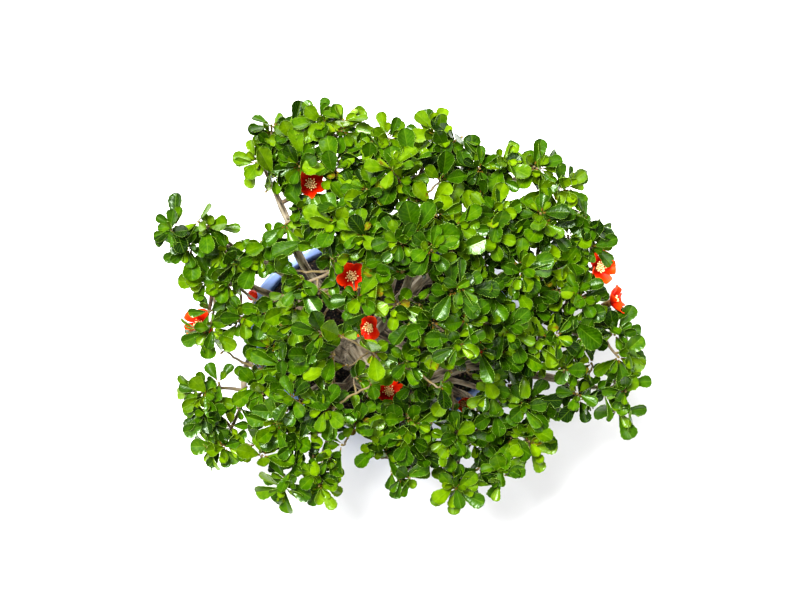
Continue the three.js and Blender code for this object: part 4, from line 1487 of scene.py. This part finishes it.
    def canopy(self, rosettes: list[Rosette]) -> list[Rosette]:
        """Fill the canopy, from the nearest wood below.

        Args:
            rosettes: The rosettes that the sprays already have.

        Returns:
            The filling ones.
        """
        draw = Draws(self.fill_seed)
        ends = np.array([rosette.end for rosette in rosettes])
        taken = ends
        steps = np.linspace(0.12, 1.0, 40)
        stems = [stem for row in self.stems.values() for stem in row]
        wood = np.vstack([curve.at(steps) for curve in [*self.clump.curves.values(), *stems]])
        rows = int(self.fill_wide / self.fill_step)
        filling = []
        for row in range(-rows // 2, rows // 2 + 1):
            for column in range(-rows // 2 - 3, rows // 2 + 4):
                x = (column + 0.5 * (row % 2) + 0.55 * (draw() - 0.5)) * self.fill_step
                y = (0.87 * row + 0.5 * (draw() - 0.5)) * self.fill_step
                sink, slant, turn, size = (draw() for _ in range(4))
                away = np.hypot(ends[:, 0] - x, ends[:, 1] - y)
                near = np.argsort(away)[:6]
                weight = 1.0 / (away[near] ** 2 + 30.0)
                z = float((ends[near, 2] * weight).sum() / weight.sum()) + 4.0 - 18.0 * sink
                end = np.array((x, y, z))
                room = self.crowd * (self.sparse_crowd if x < self.sparse else 1.0)
                crowded = np.linalg.norm(taken - end, axis=1).min() < room
                if crowded or not self.ringed(end, ends) or any(gap.shows(end[None]) for gap in GAPS):
                    continue
                lower = wood[wood[:, 2] < z - 5.0]
                foot = lower[np.linalg.norm(lower - end, axis=1).argmin()]
                if np.linalg.norm(foot - end) > self.fill_reach:
                    continue
                lean = np.array((math.cos(TAU * turn), math.sin(TAU * turn), 0.0)) * (0.15 + 0.5 * slant)
                outward = unit((end - foot) * (1.0, 1.0, 0.0) + (1e-6, 0.0, 0.0))
                axis = unit(UP + 0.25 * outward + lean)
                spray = rosettes[near[0]].spray
                rosette = self.rosette(spray, foot, end, axis, 0.82 + 0.26 * size, draw)
                self.loosen(rosette, draw)
                line, _ = self.twig(rosette)
                if not any(window.shows(line, self.window_share) for window in WINDOWS):
                    taken = np.vstack((taken, end))
                    filling.append(rosette)
        return filling

    def blade(self, rosette: Rosette, index: int, leaf: Leaf, length: float) -> np.ndarray:
        """Bend the master leaf into its place in a rosette.

        Args:
            rosette: The rosette that it stands in.
            index: Its place there: the outer ones first.
            leaf: How it stands.
            length: Its length.

        Returns:
            Its points.
        """
        axis = rosette.axis
        aside, across = crosswise(axis)
        inside = index >= self.outer
        slots = self.inner if inside else self.outer
        angle = rosette.spin + TAU * (index % self.outer + (0.2 if inside else 0.5)) / slots
        rise = leaf.rise + (0.45 if inside else 0.0)
        flat = aside * math.cos(angle) + across * math.sin(angle)
        along = flat * math.cos(rise) + axis * math.sin(rise)
        side = turned(unit(np.cross(axis, flat)), along, leaf.roll)
        face = unit(np.cross(along, side))
        way, edge, normal = (turned(v, axis, leaf.swing) for v in (along, side, face))
        half = 0.5 * length * leaf.shape * self.slender
        master = self.master
        lift = np.abs(master.across) * half * leaf.fold - leaf.droop * master.along ** 2 * length
        origin = rosette.end + axis * self.hub_thick * 0.5 + flat * self.hub
        return (origin + way * (master.along * length)[:, None] + edge * (master.across * half)[:, None]
                + normal * lift[:, None])

    def fitted(self, rosette: Rosette, index: int, leaf: Leaf) -> np.ndarray | None:
        """Shorten a leaf until it stays in the frame's box, and leave it out where an opening shows.

        Args:
            rosette: The rosette that it stands in.
            index: Its place there.
            leaf: How it stands.

        Returns:
            Its points, or None where it can't be.
        """
        low, high = (np.array(corner) / MM - SHIFT for corner in CAD_BOX)
        length = leaf.length * self.fuller * (self.inner_size if index >= self.outer else 1.0)
        for share in (1.0, 0.88, 0.76, 0.64):
            points = self.blade(rosette, index, leaf, length * share)
            if np.all(points > low + 0.2) and np.all(points < high - 0.2):
                hidden = any(opening.shows(points, self.opened) for opening in WINDOWS + HOLLOWS + BAYS)
                if rosette.extra and not hidden:
                    hidden = any(gap.shows(points) for gap in GAPS)
                return None if hidden else points
        return None

    def twig(self, rosette: Rosette) -> Rod:
        """Bend the twig or the spur that carries a rosette.

        Args:
            rosette: The rosette. A filling one has a long twig with kinks and nodes.

        Returns:
            Its middle line and its radii.
        """
        foot, end = rosette.foot, rosette.end
        if not rosette.extra:
            return np.linspace(foot, end, 4), np.array((1.0, 0.8, 0.85, 0.9))
        reach = float(np.linalg.norm(end - foot))
        low = foot + 0.5 * (end - foot) - 0.1 * reach * UP
        line = Curve([foot, low, end - 0.2 * reach * rosette.axis, end]).even(12)
        steps = np.arange(12)
        kink = np.sin(steps * 2.1 + rosette.spin) * np.sin(steps * math.pi / 11.0)
        line = line + kink[:, None] * unit(np.cross(end - foot, (0.3, 0.5, 1.0))) * 0.5
        return line, np.linspace(1.1, 0.65, 12) * (1.0 + 0.16 * np.cos(steps * 2.6 + rosette.spin))

    def spray(self, index: int, name: str, rosettes: list[Rosette]) -> int:
        """Model one spray: its leaves as one piece, and its stems and spurs as another.

        Args:
            index: Its place in the list of sprays.
            name: Its name there.
            rosettes: Its rosettes.

        Returns:
            How many leaves it has.
        """
        shade = Draws(self.shade_seed + index)
        twigs = Draft()
        for order, stem in enumerate(self.stems[name]):
            line = stem.even(12)
            thick = (1.2 if order else 1.5) - 0.4 * np.linspace(0.0, 1.0, len(line))
            twigs.add(*tube(line, thick, 7), tone=0.3)
        leaves = Draft()
        count = 0
        for rosette in rosettes:
            mood = shade.between(0.1, 0.6)
            kept = 0
            for i, leaf in enumerate(rosette.leaves):
                tone = mood + shade.between(-0.2, 0.22) + (0.24 if i >= self.outer else 0.0)
                body = self.fitted(rosette, i, leaf)
                if body is not None:
                    leaves.add(body, self.master.faces, self.master.marks, tone)
                    kept += 1
            count += kept
            if kept == 0 and not rosette.tip:
                continue
            heart = rosette.end
            bud = np.array([heart + rosette.axis * step for step in (-1.2, 0.0, 0.9, 1.8)])
            twigs.add(*tube(bud, np.array((0.75, 1.0, 0.8, 0.2)), 7), tone=0.8)
            if not rosette.tip:
                twigs.add(*tube(*self.twig(rosette), 6), tone=0.5)
        node = [f"spray_{name}"]
        blades = leaves.make(f"leaves_{name}")
        dress(blades, node, "leaf", *self.materials[:2])
        apply_modifier(blades, "SOLIDIFY", thickness=self.blade_thick * MM, offset=-1.0, material_offset=1)
        smooth(blades, 34.0)
        wood = twigs.make(f"twigs_{name}")
        smooth(wood, 60.0)
        dress(wood, node, "bark", self.materials[2])
        return count

    def build(self) -> None:
        """Lay out every spray, fill the canopy between them, and model them all."""
        self.materials = (self.leaf.upper(), self.leaf.under(), self.twig_finish.material())
        rosettes: list[Rosette] = []
        for index, (name, row) in enumerate(SPRAYS.items()):
            draw = Draws(self.seed + index)
            self.stems[name] = self.grow(*row, draw)
            rosettes += self.rosettes(name, draw)
        filling = self.canopy(rosettes)
        count = sum(
            self.spray(index, name, [r for r in rosettes + filling if r.spray == name])
            for index, name in enumerate(SPRAYS))
        log.info("%d rosettes of the sprays, %d more, %d leaves", len(rosettes), len(filling), count)


@dataclass
class Flowers:
    """The blooms and buds: five spoon petals, a calyx cup and a brush of stamens each."""

    # For each kind: the petals' size, how steeply they stand, and the stamens' length.
    KINDS: ClassVar[dict[BloomKind, tuple[float, float, float]]] = {
        BloomKind.OPEN: (1.0, 0.35, 5.6),
        BloomKind.CUP: (0.8, 0.95, 5.6),
        BloomKind.SPENT: (0.35, 0.7, 7.4),
    }

    clump: Clump
    seed: int = 900
    ruffle_seed: int = 6000
    petals: int = 5
    calyx: float = 6.0
    hub: float = 3.2
    length: float = 9.6
    width: float = 9.4
    rows: tuple[float, ...] = (0.0, 0.1, 0.2, 0.32, 0.45, 0.6, 0.75, 0.88, 0.96, 1.0)
    widths: tuple[float, ...] = (0.32, 0.42, 0.54, 0.7, 0.86, 0.97, 1.0, 0.97, 0.86, 0.62)
    columns: int = 7
    curl: float = 0.75
    stamens: int = 26
    golden_turn: float = 2.39996
    bud_radius: float = 4.2
    materials: dict[str, bpy.types.Material] = field(default_factory=dict)

    def petal(self, centre: np.ndarray, axis: np.ndarray, angle: float, rise: float, length: float,
              width: float, draw: Draws) -> tuple[np.ndarray, Faces, np.ndarray]:
        """Bend one petal into its place.

        Args:
            centre: The middle of the bloom.
            axis: The way that the bloom faces.
            angle: The petal's way round the bloom.
            rise: How steeply it stands up from the bloom's plane.
            length: Its length.
            width: Its width.
            draw: The stream that ruffles its edge.

        Returns:
            Its points, faces and marks.
        """
        aside, across = crosswise(axis)
        flat = aside * math.cos(angle) + across * math.sin(angle)
        way = flat * math.cos(rise) + axis * math.sin(rise)
        edge = unit(np.cross(axis, flat))
        normal = unit(np.cross(way, edge))
        half = 0.5 * width
        phase = TAU * draw()
        points = []
        marks = []
        for u, w in zip(self.rows, self.widths):
            for v in np.linspace(-1.0, 1.0, self.columns):
                lift = self.curl * half * (w * v) ** 2 + 0.2 * u * u * length
                lift += 0.035 * length * u * abs(v) * math.sin(phase + 5.0 * v + 4.0 * u)
                back = 0.05 * length * (1.0 - v * v) * (u > 0.93)
                points.append(centre + flat * self.hub * 0.5 + way * (u * length + back)
                              + edge * v * w * half + normal * lift)
                marks.append((u, 0.5 + 0.5 * v))
        count = self.columns
        faces = [
            (r * count + c, (r + 1) * count + c, (r + 1) * count + c + 1, r * count + c + 1)
            for r in range(len(self.rows) - 1) for c in range(count - 1)
        ]
        return np.array(points), faces, np.array(marks)

    def brush(self, draft: Draft, centre: np.ndarray, axis: np.ndarray, reach: float, draw: Draws) -> None:
        """Add a brush of fine stamens, each with its anther.

        Args:
            draft: What they are added to.
            centre: The middle of the bloom.
            axis: The way that the bloom faces.
            reach: How long they are.
            draw: The stream that sizes and shades them.
        """
        aside, across = crosswise(axis)
        for k in range(self.stamens):
            turn = k * self.golden_turn
            spread = 0.62 * math.sqrt((k + 0.5) / self.stamens)
            flat = aside * math.cos(turn) + across * math.sin(turn)
            start = centre + flat * 1.5 * spread + axis * 0.2
            end = start + (axis + flat * spread * 1.15) * reach * draw.between(0.72, 1.0)
            middle = 0.5 * (start + end) + axis * 0.5
            draft.add(*tube(np.array((start, middle, end)), np.array((0.2, 0.17, 0.14)), 4), tone=0.55)
            way = unit(end - middle)
            bag = np.array((end - way * 0.5, end, end + way * 0.6))
            draft.add(*tube(bag, np.array((0.25, 0.6, 0.3)), 6), tone=draw.between(0.8, 1.1))

    def cup(self, draft: Draft, centre: np.ndarray, axis: np.ndarray, wide: float) -> None:
        """Add the calyx: a swollen cup below the petals.

        Args:
            draft: What it is added to.
            centre: The middle of the bloom.
            axis: The way that the bloom faces.
            wide: The cup's radius at its mouth.
        """
        line = np.linspace(centre - axis * self.calyx, centre, 6)
        radii = np.array((1.3, 1.7, 2.3, 2.5, 2.7, wide))
        draft.add(*tube(line, radii, 12), tone=0.4)
        draft.add(*tube(np.array((centre, centre + axis * 0.7)), np.array((wide, 0.9)), 12), tone=0.4)

    def bud(self, draft: Draft, centre: np.ndarray, axis: np.ndarray) -> None:
        """Add a round bud, its petals still wrapped one over the next.

        Args:
            draft: What it is added to.
            centre: The top of its calyx.
            axis: The way that it faces.
        """
        aside, across = crosswise(axis)
        rings = 12
        sides = 30
        points = []
        for ring in range(rings):
            height = -math.cos(math.pi * (ring + 0.5) / rings)
            reach = math.sqrt(max(0.0, 1.0 - height * height))
            for turn in np.arange(sides) * TAU / sides:
                wrap = (turn * self.petals / TAU + height * 0.8) % 1.0
                swell = self.bud_radius * reach * (0.9 + 0.12 * wrap)
                points.append(centre + axis * (1.5 + height * self.bud_radius) + (
                    aside * math.cos(turn) + across * math.sin(turn)) * swell)
        # The marks run the petal colours up the bud, darker at its foot: painted shade, as at the petals'
        # claws.
        marks = np.repeat(np.linspace(0.3, 0.75, rings), sides)
        draft.add(np.array(points), ring_faces(rings, sides), np.stack((marks, marks), axis=1))

    def bloom(self, index: int, name: str) -> None:
        """Model one bloom or bud.

        Args:
            index: Its place in the list of blooms.
            name: Its name there, which is its node's.
        """
        kind, _, _, middle, facing = BLOOMS[name]
        axis = unit(np.array(facing, float))
        centre = np.array(middle, float)
        fresh = "" if kind is not BloomKind.SPENT else "_withered"
        petals = Draft()
        if kind is BloomKind.BUD:
            self.bud(petals, centre, axis)
        else:
            draw = Draws(self.seed + index)
            ruffle = Draws(self.ruffle_seed + index)
            size, steep, reach = self.KINDS[kind]
            spin = draw() * TAU
            for place in range(self.petals):
                length = (self.length + 1.6 * draw()) * size + 0.4 * self.hub
                width = (self.width + 1.2 * draw()) * size
                rise = steep + 0.5 * (draw() - 0.5)
                draw()
                angle = spin + TAU * (place + 0.5) / self.petals + 0.1 * (draw() - 0.5)
                petals.add(*self.petal(centre, axis, angle, rise, length, width, ruffle))
            brush = Draft()
            self.brush(brush, centre, axis, reach, ruffle)
            stamens = brush.make(f"stamens_{name}")
            smooth(stamens, 60.0)
            dress(stamens, [name], "petal", self.materials["stamen" + fresh])
        skin = petals.make(f"petals_{name}")
        if kind is not BloomKind.BUD:
            apply_modifier(skin, "SOLIDIFY", thickness=0.35 * MM, offset=0.0)
        smooth(skin, 50.0)
        dress(skin, [name], "petal", self.materials["petal" + fresh])
        green = Draft()
        self.cup(green, centre, axis, 3.0 if kind is BloomKind.BUD else 2.6)
        cup = green.make(f"calyx_{name}")
        smooth(cup, 50.0)
        dress(cup, [name], "petal", self.materials["calyx"])

    def spurs(self) -> bpy.types.Object:
        """Model the short spurs that carry the blooms.

        Returns:
            The piece.
        """
        draft = Draft()
        for _, limb, place, middle, facing in BLOOMS.values():
            axis = unit(np.array(facing, float))
            end = np.array(middle, float) - axis * (self.calyx - 0.2)
            foot = self.clump.limb_point(limb, place)
            bend = 0.5 * (end + foot) - axis * 0.12 * np.linalg.norm(end - foot)
            line = Curve([foot, bend, end]).even(9)
            draft.add(*tube(line, 1.8 - 0.5 * np.linspace(0.0, 1.0, len(line)), 8), tone=0.35)
        return draft.make("bloom_spurs")

    def build(self) -> None:
        """Model every bloom and bud, and the spurs that carry them."""
        withered = (srgb(150, 84, 20), srgb(206, 122, 30), srgb(120, 60, 24))
        finishes = (
            PetalFinish(),
            PetalFinish("petal_withered", withered, 0.6),
            PlainFinish("stamen", srgb(232, 180, 90), srgb(252, 240, 176), 3000.0, 0.55),
            PlainFinish("calyx", srgb(96, 60, 30), srgb(134, 120, 44), 700.0, 0.5),
            PlainFinish("stamen_withered", srgb(150, 84, 20), srgb(214, 132, 40), 3000.0, 0.7),
            PlainFinish("spur", srgb(96, 82, 66), srgb(150, 128, 100), 500.0, 0.7),
        )
        self.materials = {finish.name: finish.material() for finish in finishes}
        for index, name in enumerate(BLOOMS):
            self.bloom(index, name)
        spurs = self.spurs()
        smooth(spurs, 60.0)
        dress(spurs, ["clump"], "bark", self.materials["spur"])


@dataclass
class Studio:
    """The plain pale floor, the soft light and the camera straight above."""

    floor_half: float = 3.0
    sky: float = 0.48
    plant_height: float = 0.12
    lamps: tuple[tuple[str, Point, float, float], ...] = (
        ("key", (-0.6, 0.8, 2.1), 0.8, 146.0),
        ("fill", (0.9, -0.6, 2.0), 1.2, 24.0),
    )

    def camera(self) -> None:
        """Place the camera above the plant, looking straight down, with +Y at the picture's top."""
        data = bpy.data.cameras.new("camera")
        data.lens = data.sensor_width / PICTURE_WIDTH * EYE_HEIGHT
        data.clip_end = 20.0
        camera = bpy.data.objects.new("camera", data)
        camera.location = (np.array((0.0, 0.0, EYE_HEIGHT)) + SHIFT) * MM
        bpy.context.scene.collection.objects.link(camera)
        bpy.context.scene.camera = camera

    def floor(self) -> None:
        """Lay the floor, a pale sheet that runs well past the picture."""
        bpy.ops.object.select_all(action="DESELECT")
        bpy.ops.mesh.primitive_plane_add(size=2.0 * self.floor_half)
        floor = bpy.context.object
        floor.name = "floor"
        shader = Shader("floor", Base_Color=(0.84, 0.84, 0.84), Roughness=0.9)
        floor.data.materials.append(shader.material)

    def light(self, name: str, spot: Point, size: float, power: float) -> None:
        """Hang one square soft light, turned to the plant.

        Args:
            name: Its name.
            spot: Its place, in metres.
            size: Its side, in metres.
            power: Its power, in watts.
        """
        data = bpy.data.lights.new(name, "AREA")
        data.size = size
        data.energy = power
        lamp = bpy.data.objects.new(name, data)
        lamp.location = spot
        way = Vector((0.0, 0.0, self.plant_height)) - Vector(spot)
        lamp.rotation_euler = way.to_track_quat("-Z", "Y").to_euler()
        bpy.context.scene.collection.objects.link(lamp)

    def build(self) -> None:
        """Set up the whole studio."""
        scene = bpy.context.scene
        scene.view_settings.view_transform = "Standard"
        scene.view_settings.look = "Medium High Contrast"
        world = bpy.data.worlds.new("sky")
        world.use_nodes = True
        background = world.node_tree.nodes["Background"]
        background.inputs["Color"].default_value = (1.0, 1.0, 1.0, 1.0)
        background.inputs["Strength"].default_value = self.sky
        scene.world = world
        self.camera()
        self.floor()
        for lamp in self.lamps:
            self.light(*lamp)


def main() -> None:
    """Build the plant, its pot and the studio, in order."""
    logging.basicConfig(level=logging.INFO, format="%(message)s", stream=sys.stdout)
    Studio().build()
    pot = Pot()
    pot.build()
    soil = Soil(pot)
    soil.build()
    clump = Clump(soil)
    clump.build()
    Foliage(clump).build()
    Flowers(clump).build()


if __name__ == "__main__":
    main()
